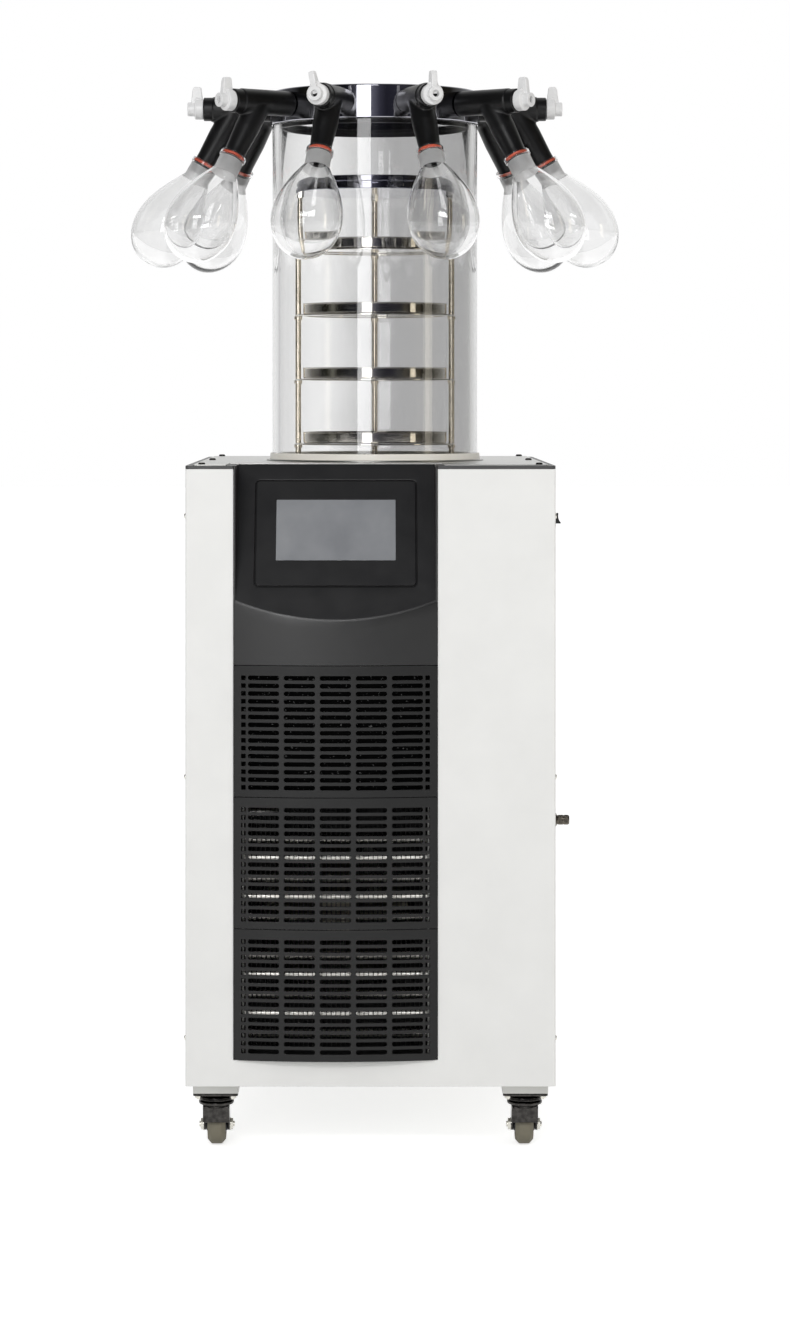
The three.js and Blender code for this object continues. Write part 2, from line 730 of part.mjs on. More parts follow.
function coldTrap() {
  const outer = trapRadius + trapWall;
  const flange = chamberRadius + trapFlangeOverhang;
  const ringOuter = chamberRadius - chamberWall - 2 * gap;
  const ringInner = ringOuter - 6;
  const ringTop = flangeTop + trapRingHeight;
  const well = turned([
    [0, trapBottom], [outer, trapBottom], [outer, flangeBottom], [flange, flangeBottom], [flange, flangeTop],
    [ringOuter, flangeTop], [ringOuter, ringTop], [ringInner, ringTop], [ringInner, flangeTop],
    [trapRadius, flangeTop], [trapRadius, trapBottom + trapWall], [0, trapBottom + trapWall],
  ], 28).translate(chamberX, 0, 0);
  const pipeZ = deckTop - vacuumPipeDrop;
  const pipeEnd = halfDepth + vacuumReach;
  const pipe = rodAlongY(vacuumPipeRadius, trapRadius + 0.8, pipeEnd, 16).translate(chamberX, 0, pipeZ);
  const flangeDisc = rodAlongY(vacuumFlangeRadius, pipeEnd - 4, pipeEnd, 16).translate(chamberX, 0, pipeZ);
  const bore = rodAlongY(vacuumPipeRadius - 2, trapRadius - 8, pipeEnd + 1, 16)
    .translate(chamberX, 0, pipeZ);
  const drain = drainPipe(drainPipeRadius, 0);
  const drainBore = drainPipe(drainPipeRadius - drainPipeWall, 1);
  const drainMouth = rod(drainPipeRadius - drainPipeWall, trapBottom - 2, trapBottom + 5, 8)
    .translate(chamberX, 0, 0);
  return cut(join(well, pipe, flangeDisc, drain), bore, drainBore, drainMouth);
}

// ---------------------------------------------------------------- side and back fittings
function switchHousing() {
  const sized = ([depth, height], x0, x1) => block(x0, x1, -depth / 2, depth / 2, -height / 2, height / 2);
  const flange = sized(switchFlange, gap, gap + switchFlangeThickness);
  const body = sized(switchBody, -switchDepth, gap + 1);
  const pocket = sized(switchPocket, -8, switchFlangeThickness + 5);
  return cut(join(flange, body), pocket);
}

// Paddle turning about Y, drawn with its ends level
function switchRocker() {
  const half = switchPocket[1] / 2;
  const outline = [
    [-4, -half + 3.5], [-4, half - 3.5], [2.5, half - 1.6], [8.2, half],
    [5.5, 0], [8.2, -half], [2.5, 1.6 - half],
  ];
  return prismY(outline, -switchPocket[0] / 2 + gap, switchPocket[0] / 2 - gap);
}

function drainNozzle() {
  const wall = halfWidth;
  const outside = turned([
    [0, wall - 12], [nozzleRadius, wall - 12], [nozzleRadius, wall + gap], [nozzleFlangeRadius, wall + gap],
    [nozzleFlangeRadius, wall + 3], [nozzleRadius, wall + 4], [nozzleRadius, wall + nozzleReach - 1],
    [nozzleRadius - 1, wall + nozzleReach], [0, wall + nozzleReach],
  ], 12).rotateY(Math.PI / 2);
  const tail = rodAlongX(nozzleTail, wall - drainPipeEnd - 10, wall - 11, 8);
  const nut = hexagonAlongX(18, wall - sheet - gap - 5, wall - sheet - gap);
  const bore = rodAlongX(2, wall - 30, wall + nozzleReach + 1, 8);
  return cut(join(outside, tail, nut), bore);
}

function powerInlet() {
  const sized = ([width, height], y0, y1) => block(-width / 2, width / 2, y0, y1, -height / 2, height / 2);
  const flange = sized(inletFlange, gap, gap + 3);
  const body = sized(inletBody, -inletDepth, gap + 1);
  const socket = sized(inletBody.map((size) => size - 5), -inletDepth + 4, 5);
  const pins = [[-6, -3], [6, -3], [0, 4]]
    .map(([x, z]) => block(x - 1, x + 1, -inletDepth + 2, -2, z - 2, z + 2));
  return join(cut(join(flange, body), socket), ...pins);
}

// ---------------------------------------------------------------- castors
// Frame of a castor: the swivel axis is Z through the origin, and the floor is z = 0.
function castorFork() {
  const inner = hubLength / 2 + gap;
  const outer = inner + forkWall;
  const crown = wheelDiameter + 2;
  const race = turned([
    [0, crown], [raceRadius - 7, crown], [raceRadius - 4, crown + 4], [raceRadius, crown + 9 - gap],
    [0, crown + 9 - gap],
  ], 12);
  const kingpin = rod(kingpinRadius, crown + 5, castorHeight + 3, 8);
  const legProfile = [
    [-15, crown], [-12, crown + 5], [14, crown + 5], [17, crown],
    [castorTrail + 9, wheelRadius + 2], [castorTrail + 6, wheelRadius - 7],
    [castorTrail - 6, wheelRadius - 7], [castorTrail - 10, wheelRadius + 2],
  ];
  const legs = [-1, 1].map((side) => prismX(
    legProfile, Math.min(side * inner, side * outer), Math.max(side * inner, side * outer),
  ));
  const bridge = block(-outer, outer, -12, 14, crown, crown + 5);
  const axle = rodAlongX(axleRadius, -boltLength / 2, boltLength / 2, 8)
    .translate(0, castorTrail, wheelRadius);
  const nut = (side) => hexagonAlongX(
    nutWidth, Math.min(side * outer, side * (outer + 4)), Math.max(side * outer, side * (outer + 4)),
  ).translate(0, castorTrail, wheelRadius);
  return join(race, kingpin, bridge, ...legs, axle, nut(-1), nut(1));
}

// A flat of the tread rests on the floor.
function castorWheel() {
  const tread = wheelRadius / Math.cos(Math.PI / wheelSides);
  const bore = axleRadius + gap;
  const hub = hubLength / 2;
  const half = wheelWidth / 2;
  return turned([
    [bore, -hub], [hubRadius, -hub], [hubRadius, -half], [tread, -half], [tread, half], [hubRadius, half],
    [hubRadius, hub], [bore, hub], [bore, -hub],
  ], wheelSides, Math.PI / wheelSides).rotateY(Math.PI / 2);
}

function castor({ name, x, y }) {
  const fork = piece(`castor_fork_${name}`, castorFork(), 'darkMetal');
  const wheel = piece(`castor_wheel_${name}`, castorWheel(), 'wheelRubber');
  wheel.position.set(0, castorTrail, wheelRadius);
  const holder = group(fork, wheel);
  holder.position.set(x, y, 0);
  return holder;
}

// ---------------------------------------------------------------- chamber and rack
const rackFoot = flangeTop + gap;
const rackTop = lidBottom - rackHeadroom;
const rackPlateBottom = rackTop - rackPlateThickness;
const trayPitch = (rackPlateBottom - topTraySpace - flangeTop - firstTrayTop) / (trayCount - 1);
const trayBottomAt = (n) => flangeTop + firstTrayTop + n * trayPitch - trayHeight;
const trayBottoms = Array.from({ length: trayCount }, (_, n) => trayBottomAt(n));
const roundSides = 24;

function chamberCylinder() {
  return ring(chamberRadius - chamberWall, chamberRadius, chamberBottom, chamberBottom + chamberHeight, 36);
}

function rackFrame() {
  const rods = [0, 90, 180].map((angle) => {
    const turn = THREE.MathUtils.degToRad(angle);
    return rod(rodRadius, rackFoot, rackPlateBottom + 1, 8)
      .translate(rodCircle * Math.cos(turn), rodCircle * Math.sin(turn), 0);
  });
  const shelf = (z) => ring(
    rodCircle + rodRadius - shelfRingWidth, rodCircle + rodRadius, z - shelfRingThickness, z, roundSides,
  );
  const shelves = trayBottoms.map((bottom) => shelf(bottom - gap));
  const foot = shelf(rackFoot + shelfRingThickness);
  return join(rod(rackPlateRadius, rackPlateBottom, rackTop, roundSides), ...rods, ...shelves, foot);
}

function tray() {
  return turned([
    [0, 0], [trayRadius - 1, 0], [trayRadius, 1], [trayRadius, trayHeight],
    [trayRadius - trayWall, trayHeight], [trayRadius - trayWall, trayWall], [0, trayWall],
  ], roundSides);
}

// ---------------------------------------------------------------- manifold, valves and flasks
const portAzimuths = Array.from({ length: portCount }, (_, n) => (n - (portCount - 1) / 2) * portPitch);

// Radial direction of a port: azimuth 0 faces the front
function portTurn(azimuth) {
  return THREE.MathUtils.degToRad(azimuth - 90);
}

function manifoldLid() {
  const lipOuter = chamberRadius - chamberWall - 2 * gap;
  const shell = turned([
    [lidOpening, 0], [lipOuter - 5, 0], [lipOuter - 5, -lidLip], [lipOuter, -lidLip], [lipOuter, 0],
    [lidRadius, 0], [lidRadius, lidHeight], [0, lidHeight], [0, lidHeight - lidTop],
    [lidRadius - lidWall, lidHeight - lidTop], [lidRadius - lidWall, lidFloor], [lidOpening, lidFloor],
    [lidOpening, 0],
  ], 32);
  const inPlace = (shape, azimuth) => shape.translate(0, 0, portHeight).rotateZ(portTurn(azimuth));
  const stubs = portAzimuths.map((azimuth) => inPlace(
    rodAlongX(stubRadius, lidRadius - lidWall / 2, lidRadius + stubLength, 8), azimuth,
  ));
  const bores = portAzimuths.map((azimuth) => inPlace(
    rodAlongX(stubBore, lidRadius - lidWall - 6, lidRadius + stubLength + 1, 6), azimuth,
  ));
  return cut(join(shell, ...stubs), ...bores);
}

// Frame of a port: X runs outwards along the arm's axis from the lid's wall.
function alongOutlet(shape) {
  return shape.rotateY(Math.PI - THREE.MathUtils.degToRad(outletTilt)).translate(outletAt, 0, 0);
}

function valveBody() {
  const arm = turned([
    [0, gap], [armRadius, gap], [armRadius, armStep], [armEndRadius, armStep + 2], [armEndRadius, armLength],
    [0, armLength],
  ], 10).rotateY(Math.PI / 2);
  const spigotEnd = outletLength + spigotLength;
  const outlet = alongOutlet(turned([
    [0, 0], [outletRadius, 0], [outletRadius, outletLength * 0.5], [spigotRadius, outletLength - 8],
    [spigotRadius, spigotEnd - 3], [spigotRadius - 1.5, spigotEnd], [0, spigotEnd],
  ], flaskSides));
  const outletHole = alongOutlet(rod(outletBore, outletBoreStart, spigotEnd + 1, 6));
  const socket = rodAlongX(stubRadius + gap, -1, stubLength + 2, 8);
  const stemHole = rodAlongX(holeRadius(stemRadius, 10), armLength - stemLength - 1, armLength + 1, 10);
  return cut(join(arm, outlet), socket, outletHole, stemHole);
}

// The knob turns about X, and its lever stands up along Z.
function valveKnob() {
  const back = armLength + gap;
  const end = back + knobLength;
  const turnedBody = turned([
    [0, armLength - stemLength], [stemRadius, armLength - stemLength],
    [stemRadius, back], [knobRadius, back], [knobRadius, back + knobThickness],
    [knobNoseRadius, back + knobThickness + 1], [knobNoseRadius, end], [0, end],
  ], 10).rotateY(Math.PI / 2);
  const lever = prismY([
    [back + 1, 0], [back + 1, knobRadius], [back + 3, leverHeight], [back + leverWidth - 1, leverHeight],
    [back + leverWidth + 1, leverHeight - 3], [back + leverWidth + 3, 0],
  ], -leverThickness / 2, leverThickness / 2);
  const bore = rodAlongX(knobBore, end - 12, end + 1, 6);
  return cut(join(turnedBody, lever), bore);
}

// Flask along Z from its rim, downwards in use: collar, ground neck and an egg shaped body
function flask() {
  const neckInner = spigotRadius + gap;
  const neckOuter = neckInner + flaskWall;
  const roundEnd = flaskLength - bodyMiddle;
  // The body is a half ellipse at its foot and a narrowing shoulder above its middle.
  const shoulder = (share) => [
    neckOuter + (bodyRadius - neckOuter) * Math.sin((share * Math.PI) / 2),
    neckLength + share * (bodyMiddle - neckLength),
  ];
  const bottom = (angle) => [bodyRadius * Math.cos(angle), bodyMiddle + roundEnd * Math.sin(angle)];
  const outside = [
    ...[0, 0.3, 0.62, 1].map(shoulder), ...[0.5, 1.05].map(bottom), [0, flaskLength],
  ];
  const inside = ([r, z]) => [
    Math.max(r - flaskWall, 0),
    z > bodyMiddle ? z - flaskWall * ((z - bodyMiddle) / roundEnd) : z,
  ];
  const hollow = [outside[0], outside[2], outside[3], outside[5]].map(inside);
  return turned([
    [neckInner, 0], [neckOuter + collarProud, 0], [neckOuter + collarProud, collarHeight],
    [neckOuter, collarHeight + 1.5], ...outside,
    [0, flaskLength - flaskWall], ...hollow.reverse(), [neckInner, 0],
  ], flaskSides);
}

function port(azimuth, number) {
  const body = piece(`valve_body_${number}`, valveBody(), 'blackRubber');
  const knob = piece(`valve_knob_${number}`, valveKnob(), 'whitePlastic');
  knob.rotation.x = THREE.MathUtils.degToRad(leverLean[number] ?? 0);
  const bottle = piece(`flask_${number}`, flask(), 'glass');
  const tilt = Math.PI - THREE.MathUtils.degToRad(outletTilt);
  const rim = outletLength + gap;
  bottle.position.set(outletAt + rim * Math.sin(tilt), 0, rim * Math.cos(tilt));
  bottle.rotation.y = tilt;
  const arm = group(body, knob, bottle);
  arm.position.x = lidRadius;
  const holder = group(arm);
  holder.rotation.z = portTurn(azimuth);
  holder.position.z = lidBottom + portHeight;
  return holder;
}

// ---------------------------------------------------------------- assembly
function columnGroup() {
  const names = ['lower_grille', 'middle_grille', 'upper_grille'];
  const grilles = names.slice(0, grilleCount).map((name, n) => {
    const mesh = piece(name, grille(n === 0), 'blackPlastic');
    mesh.position.z = columnBottom + n * (grilleHeight + seam);
    return mesh;
  });
  const display = group(
    piece('screen_bezel', screenBezel(), 'blackPlastic'),
    piece('touch_screen', touchScreen(), 'screenGlass'),
  );
  display.position.set(0, faceFoot.y, faceFoot.z);
  display.rotation.x = -lean;
  const holder = group(piece('control_fascia', controlFascia(), 'blackPlastic'), display, ...grilles);
  holder.position.set(columnX, frontY, 0);
  return holder;
}

function coolingGroup() {
  const blade = piece('fan_blade', fanBlade(), 'aluminium');
  blade.position.set(0, shroudY + shroudDepth / 2, fanZ);
  const holder = group(
    piece('condenser', condenser(), 'aluminium'),
    piece('fan_frame', fanFrame(), 'compressorPaint'),
    blade,
  );
  holder.position.set(columnX, frontY + condenserInset, 0);
  return holder;
}

function fittings() {
  const housing = piece('switch_housing', switchHousing(), 'blackPlastic');
  const rocker = piece('switch_rocker', switchRocker(), 'blackPlastic');
  rocker.rotation.y = THREE.MathUtils.degToRad(-rockerTilt);
  const powerSwitch = group(housing, rocker);
  powerSwitch.position.set(halfWidth, nozzleY, switchHeight);
  const nozzle = piece('drain_nozzle', drainNozzle(), 'darkMetal');
  nozzle.position.set(0, nozzleY, nozzleHeight);
  const inlet = piece('power_inlet', powerInlet(), 'blackPlastic');
  inlet.position.set(inletX, halfDepth, inletHeight);
  return group(powerSwitch, nozzle, inlet);
}

function cabinetGroup() {
  const pot = piece('compressor', compressor(), 'compressorPaint');
  pot.position.set(compressorX, compressorY, cabinetBottom + trayFloor + gap);
  return group(
    piece('base_tray', baseTray(), 'paleSteel'),
    piece('front_panel', frontPanel(), 'whitePaint'),
    piece('rear_panel', rearPanel(), 'whitePaint'),
    piece('left_side_panel', sidePanel(-1), 'whitePaint'),
    piece('right_side_panel', rightSidePanel(), 'whitePaint'),
    piece('top_deck', topDeck(), 'brushedSteel'),
    piece('cold_trap', coldTrap(), 'brushedSteel'),
    pot,
  );
}

function chamberGroup() {
  const lid = piece('manifold_lid', manifoldLid(), 'mirrorSteel');
  lid.position.z = lidBottom;
  const trays = trayBottoms.map((bottom, n) => {
    const mesh = piece(`sample_tray_${n + 1}`, tray(), 'brushedSteel');
    mesh.position.z = bottom;
    return mesh;
  });
  const holder = group(
    piece('chamber_cylinder', chamberCylinder(), 'acrylic'),
    piece('rack_frame', rackFrame(), 'brushedSteel'),
    ...trays,
    lid,
    ...portAzimuths.map((azimuth, n) => port(azimuth, n + 1)),
  );
  holder.position.x = chamberX;
  return holder;
}

const freezeDryer = group(
  cabinetGroup(),
  columnGroup(),
  coolingGroup(),
  fittings(),
  ...castorPlaces().map(castor),
  chamberGroup(),
);

// The origin moves to the middle of the whole object's floor area.
freezeDryer.updateMatrixWorld(true);
const extent = new THREE.Box3().setFromObject(freezeDryer, true);
const middle = extent.getCenter(new THREE.Vector3());
freezeDryer.position.set(-middle.x, -middle.y, -extent.min.z);

export default freezeDryer;
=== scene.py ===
"""Looks of a laboratory freeze dryer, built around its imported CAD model.

Shapes are written in millimetres and become metres when a piece is made. X is the object's right,
Y its back and Z is up. Every place comes from the boxes of the CAD nodes.
"""

import json
import math

import bmesh
import bpy
from mathutils import Matrix, Vector, geometry

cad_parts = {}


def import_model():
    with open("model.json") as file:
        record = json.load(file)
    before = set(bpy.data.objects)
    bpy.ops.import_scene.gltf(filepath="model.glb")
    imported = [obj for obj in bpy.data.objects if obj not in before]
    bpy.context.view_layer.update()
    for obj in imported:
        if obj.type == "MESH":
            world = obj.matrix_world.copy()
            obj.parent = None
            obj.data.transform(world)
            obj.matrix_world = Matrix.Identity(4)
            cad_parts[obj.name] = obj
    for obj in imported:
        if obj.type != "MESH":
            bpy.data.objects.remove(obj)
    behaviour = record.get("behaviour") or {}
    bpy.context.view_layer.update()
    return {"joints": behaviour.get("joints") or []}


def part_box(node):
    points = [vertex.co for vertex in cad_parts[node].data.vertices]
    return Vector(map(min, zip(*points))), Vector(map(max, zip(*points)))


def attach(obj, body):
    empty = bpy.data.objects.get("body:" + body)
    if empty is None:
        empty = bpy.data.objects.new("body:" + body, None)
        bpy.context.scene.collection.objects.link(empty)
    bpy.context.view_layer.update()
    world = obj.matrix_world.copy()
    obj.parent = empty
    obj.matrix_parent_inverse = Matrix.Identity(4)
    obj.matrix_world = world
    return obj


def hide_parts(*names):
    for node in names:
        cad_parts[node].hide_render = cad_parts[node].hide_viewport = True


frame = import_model()
MM = 0.001
GAP = 0.3  # between pieces that touch


# ---------------------------------------------------------------- places
class Span:
    """Box of a CAD node, in millimetres."""

    def __init__(self, name):
        lo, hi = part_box(name)
        self.x0, self.y0, self.z0 = (value / MM for value in lo)
        self.x1, self.y1, self.z1 = (value / MM for value in hi)
        self.cx = (self.x0 + self.x1) / 2
        self.cy = (self.y0 + self.y1) / 2
        self.cz = (self.z0 + self.z1) / 2


def joint_place(name):
    """Place of a CAD joint, in millimetres."""
    joint = next(joint for joint in frame["joints"] if joint["name"] == name)
    return [value / MM for value in joint["pos_m"]]


def move(x=0.0, y=0.0, z=0.0):
    return Matrix.Translation((x, y, z))


def turn(degrees, axis):
    return Matrix.Rotation(math.radians(degrees), 4, axis)


ALONG_X = turn(90, "Y")  # a solid drawn along Z then lies along X
ALONG_Y = turn(-90, "X")
Y_Z_PLANE = Matrix(((0, 0, 1, 0), (1, 0, 0, 0), (0, 1, 0, 0), (0, 0, 0, 1)))
X_Z_PLANE = Matrix(((1, 0, 0, 0), (0, 0, -1, 0), (0, 1, 0, 0), (0, 0, 0, 1)))

FRONT = Span("front_panel")
REAR = Span("rear_panel")
COLUMN = Span("control_fascia")
CYLINDER = Span("chamber_cylinder")
LID = Span("manifold_lid")
RACK = Span("rack_frame")
AXIS = move(CYLINDER.cx, CYLINDER.cy)
CORNERS = [(-1, -1), (-1, 1), (1, -1), (1, 1)]


# ---------------------------------------------------------------- solids
def rounded(points, closed=True, step=15):
    """Points of an outline whose (x, y, radius) corners are replaced by arcs."""
    line = []
    last = len(points) - 1
    for n, point in enumerate(points):
        corner = Vector(point[:2])
        radius = point[2] if len(point) > 2 else 0
        if radius <= 0 or (not closed and n in (0, last)):
            line.append(tuple(corner))
            continue
        before = Vector(points[n - 1][:2]) - corner
        after = Vector(points[(n + 1) % len(points)][:2]) - corner
        half = before.angle(after) / 2
        reach = min(radius / math.tan(half), before.length * 0.49, after.length * 0.49)
        radius = reach * math.tan(half)
        centre = corner + (before.normalized() + after.normalized()).normalized() * radius / math.sin(half)
        spoke = corner + before.normalized() * reach - centre
        sweep = math.pi - 2 * half
        side = -1 if before.cross(after) > 0 else 1
        steps = max(2, math.ceil(math.degrees(sweep) / step))
        for k in range(steps + 1):
            line.append(tuple(centre + Matrix.Rotation(side * sweep * k / steps, 2) @ spoke))
    return line


def face_of(bm, corners):
    """A face, unless its corners fall together."""
    apart = list(dict.fromkeys(corners))
    if len(apart) > 2:
        bm.faces.new(apart)


def band(bm, near, far):
    """Faces between two closed loops with as many vertices."""
    for k in range(len(near)):
        nxt = (k + 1) % len(near)
        face_of(bm, [near[k], near[nxt], far[nxt], far[k]])


def grid_of(bm, rows):
    """Faces between rows with as many vertices."""
    for low, high in zip(rows, rows[1:]):
        for k in range(len(low) - 1):
            bm.faces.new([low[k], low[k + 1], high[k + 1], high[k]])


def lathe(profile, sides=64, closed=False, step=15):
    """Solid turned about Z from a profile of (radius, height) points."""
    bm = bmesh.new()
    rings = []
    for radius, height in rounded(profile, closed, step):
        if radius < 1e-4:
            rings.append([bm.verts.new((0, 0, height))] * sides)
            continue
        angles = [2 * math.pi * k / sides for k in range(sides)]
        rings.append([bm.verts.new((radius * math.cos(a), radius * math.sin(a), height)) for a in angles])
    following = rings[1:] + (rings[:1] if closed else [])
    for lower, upper in zip(rings, following):
        band(bm, lower, upper)
    bmesh.ops.recalc_face_normals(bm, faces=bm.faces)
    return bm


def pin(radius, low, high, soft=0.0, sides=24):
    """Round bar along Z."""
    return lathe([(0, low), (radius, low, soft), (radius, high, soft), (0, high)], sides)


def ring(inner, outer, low, high, soft, sides):
    """Round ring about Z with a rectangular section."""
    section = [(inner, low, soft), (outer, low, soft), (outer, high, soft), (inner, high, soft)]
    return lathe(section, sides, closed=True)


def round_edges(bm, edges, size, segments=2):
    bmesh.ops.bevel(
        bm, geom=list(edges), offset=size, segments=segments, profile=0.5, affect="EDGES", clamp_overlap=True,
    )


def sharp_edges(bm, degrees=40):
    bm.normal_update()
    limit = math.radians(degrees)
    return [edge for edge in bm.edges if len(edge.link_faces) == 2 and edge.calc_face_angle(0) > limit]


def block(x0, x1, y0, y1, z0, z1, round_by=0.5, segments=2):
    bm = bmesh.new()
    bmesh.ops.create_cube(bm, size=1)
    middle = move((x0 + x1) / 2, (y0 + y1) / 2, (z0 + z1) / 2)
    bm.transform(middle @ Matrix.Diagonal((x1 - x0, y1 - y0, z1 - z0, 1)))
    if round_by:
        round_edges(bm, bm.edges, round_by, segments)
    return bm


def prism(outline, low, high, holes=(), round_by=0.0, segments=2, step=15):
    """Outline in X and Y, drawn out along Z, with its rims rounded."""
    bm = bmesh.new()
    loops = [rounded(loop, True, step) for loop in (outline, *holes)]
    flat = [[Vector((x, y, 0)) for x, y in loop] for loop in loops]
    ends = []
    for height in (low, high):
        ends.append([[bm.verts.new((x, y, height)) for x, y in loop] for loop in loops])
    for lower, upper in zip(*ends):
        band(bm, lower, upper)
    if holes:
        triangles = geometry.tessellate_polygon(flat)
        for end in ends:
            corners = [vert for loop in end for vert in loop]
            for triangle in triangles:
                face_of(bm, [corners[n] for n in triangle])
    else:
        for end in ends:
            bm.faces.new(end[0])
    bmesh.ops.recalc_face_normals(bm, faces=bm.faces)
    if round_by:
        rims = [e for e in sharp_edges(bm) if abs(e.verts[0].co.z - e.verts[1].co.z) < 1e-6]
        round_edges(bm, rims, round_by, segments)
    return bm


def prism_x(outline, x0, x1, **options):
    """Outline in Y and Z, drawn out along X."""
    bm = prism(outline, x0, x1, **options)
    bm.transform(Y_Z_PLANE)
    return bm


def prism_y(outline, y0, y1, **options):
    """Outline in X and Z, drawn out along Y."""
    bm = prism(outline, -y1, -y0, **options)
    bm.transform(X_Z_PLANE)
    return bm


def oblong(cx, cy, width, height, radius):
    """Outline of a rectangle with rounded corners."""
    x, y = width / 2, height / 2
    return [(cx + sx * x, cy + sy * y, radius) for sx, sy in ((-1, -1), (1, -1), (1, 1), (-1, 1))]


def circle(cx, cy, radius, sides=64):
    angles = [2 * math.pi * k / sides for k in range(sides)]
    return [(cx + radius * math.cos(a), cy + radius * math.sin(a)) for a in angles]


def tube(points, radius, sides=16):
    """Round bar along a line of points, closed at both ends."""
    bm = bmesh.new()
    line = [Vector(p) for p in points]
    rings = []
    normal = None
    for n, point in enumerate(line):
        ahead = (line[min(n + 1, len(line) - 1)] - line[max(n - 1, 0)]).normalized()
        if normal is None:
            normal = ahead.orthogonal().normalized()
        normal = (normal - ahead * normal.dot(ahead)).normalized()
        other = ahead.cross(normal)
        angles = [2 * math.pi * k / sides for k in range(sides)]
        spokes = [math.cos(a) * normal + math.sin(a) * other for a in angles]
        rings.append([bm.verts.new(point + radius * spoke) for spoke in spokes])
    for near, far in zip(rings, rings[1:]):
        band(bm, near, far)
    bm.faces.new(rings[0])
    bm.faces.new(rings[-1])
    bmesh.ops.recalc_face_normals(bm, faces=bm.faces)
    return bm


def outwards(side, near, far):
    """Both distances from the middle on one side, the smaller coordinate first."""
    return sorted((side * near, side * far))


def hexagon(across_flats, low, high, round_by=0.4):
    corners = circle(0, 0, across_flats / math.sqrt(3), 6)
    return prism(corners, low, high, round_by=round_by)


def thicken(bm, thickness):
    """Makes a sheet solid by a back face behind it, and returns the edges around its front face."""
    bm.normal_update()
    faces = list(bm.faces)
    rim = []
    for edge in bm.edges:
        if edge.is_boundary:
            loop = edge.link_loops[0]
            rim.append((edge, loop.vert, loop.link_loop_next.vert))
    twins = {v: v.co - v.normal * thickness * v.calc_shell_factor() for v in bm.verts}
    twins = {v: bm.verts.new(co) for v, co in twins.items()}
    for face in faces:
        bm.faces.new([twins[v] for v in reversed(face.verts)])
    for _, a, b in rim:
        bm.faces.new([b, a, twins[a], twins[b]])
    return [edge for edge, _, _ in rim]


def to_mesh(bm, name="solid"):
    mesh = bpy.data.meshes.new(name)
    bm.to_mesh(mesh)
    bm.free()
    return mesh


def boolean(base, tool, operation="DIFFERENCE"):
    """Base minus tool, both bmeshes, which are used up."""
    holders = []
    for bm in (base, tool):
        holder = bpy.data.objects.new("holder", to_mesh(bm))
        bpy.context.scene.collection.objects.link(holder)
        holders.append(holder)
    modifier = holders[0].modifiers.new("cut", "BOOLEAN")
    modifier.object = holders[1]
    modifier.operation = operation
    modifier.solver = "EXACT"
    made = bpy.data.meshes.new_from_object(holders[0].evaluated_get(bpy.context.evaluated_depsgraph_get()))
    result = bmesh.new()
    result.from_mesh(made)
    bpy.data.meshes.remove(made)
    for holder in holders:
        mesh = holder.data
        bpy.data.objects.remove(holder)
        bpy.data.meshes.remove(mesh)
    bmesh.ops.dissolve_limit(
        result, angle_limit=math.radians(0.5), verts=result.verts, edges=result.edges, delimit={"NORMAL"},
    )
    return result


def gathered(*solids):
    """Several solids that don't touch, as one bmesh."""
    whole = bmesh.new()
    for bm in solids:
        mesh = to_mesh(bm)
        whole.from_mesh(mesh)
        bpy.data.meshes.remove(mesh)
    return whole


class Build:
    """Collects the solids of one piece."""

    def __init__(self):
        self.bm = bmesh.new()

    def add(self, solid, at=None, finish=0):
        """Solid is a bmesh, which is used up, or a mesh, which is kept."""
        used_up = isinstance(solid, bmesh.types.BMesh)
        mesh = to_mesh(solid) if used_up else solid
        verts = len(self.bm.verts)
        faces = len(self.bm.faces)
        self.bm.from_mesh(mesh)
        self.bm.verts.ensure_lookup_table()
        self.bm.faces.ensure_lookup_table()
        if at is not None:
            for vert in self.bm.verts[verts:]:
                vert.co = at @ vert.co
        for face in self.bm.faces[faces:]:
            face.material_index = finish
        if used_up:
            bpy.data.meshes.remove(mesh)
        return self


def piece_mesh(name, build, finishes, sharp=38):
    """Mesh in metres, smooth except at its sharp edges."""
    build.bm.transform(Matrix.Scale(MM, 4))
    mesh = to_mesh(build.bm, name)
    for finish in finishes:
        mesh.materials.append(finish)
    mesh.shade_smooth()
    mesh.set_sharp_from_angle(angle=math.radians(sharp))
    return mesh


def place(name, mesh, body, stands_for=(), at=None):
    """Puts a mesh into the scene as a piece that rides on a CAD body; at is in millimetres."""
    piece = bpy.data.objects.new(name, mesh)
    bpy.context.scene.collection.objects.link(piece)
    if at is not None:
        metres = at.copy()
        metres.translation = at.translation * MM
        piece.matrix_world = metres
    weighted = piece.modifiers.new("face normals", "WEIGHTED_NORMAL")
    weighted.keep_sharp = True
    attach(piece, body)
    if stands_for:
        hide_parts(*stands_for)
    return piece


def make(name, build, finishes, body="cabinet", stands_for=(), sharp=38):
    return place(name, piece_mesh(name, build, finishes, sharp), body, stands_for)


# ---------------------------------------------------------------- finishes
CLEAR_SHARE = 0.92  # light that passes a clear wall
CHAMBER_RADIUS = CYLINDER.x1 - CYLINDER.cx


def srgb(code):
    """Linear colour of a hexadecimal screen colour."""
    channels = [(code >> shift & 255) / 255 for shift in (16, 8, 0)]
    return (*(c / 12.92 if c <= 0.04045 else ((c + 0.055) / 1.055) ** 2.4 for c in channels), 1.0)


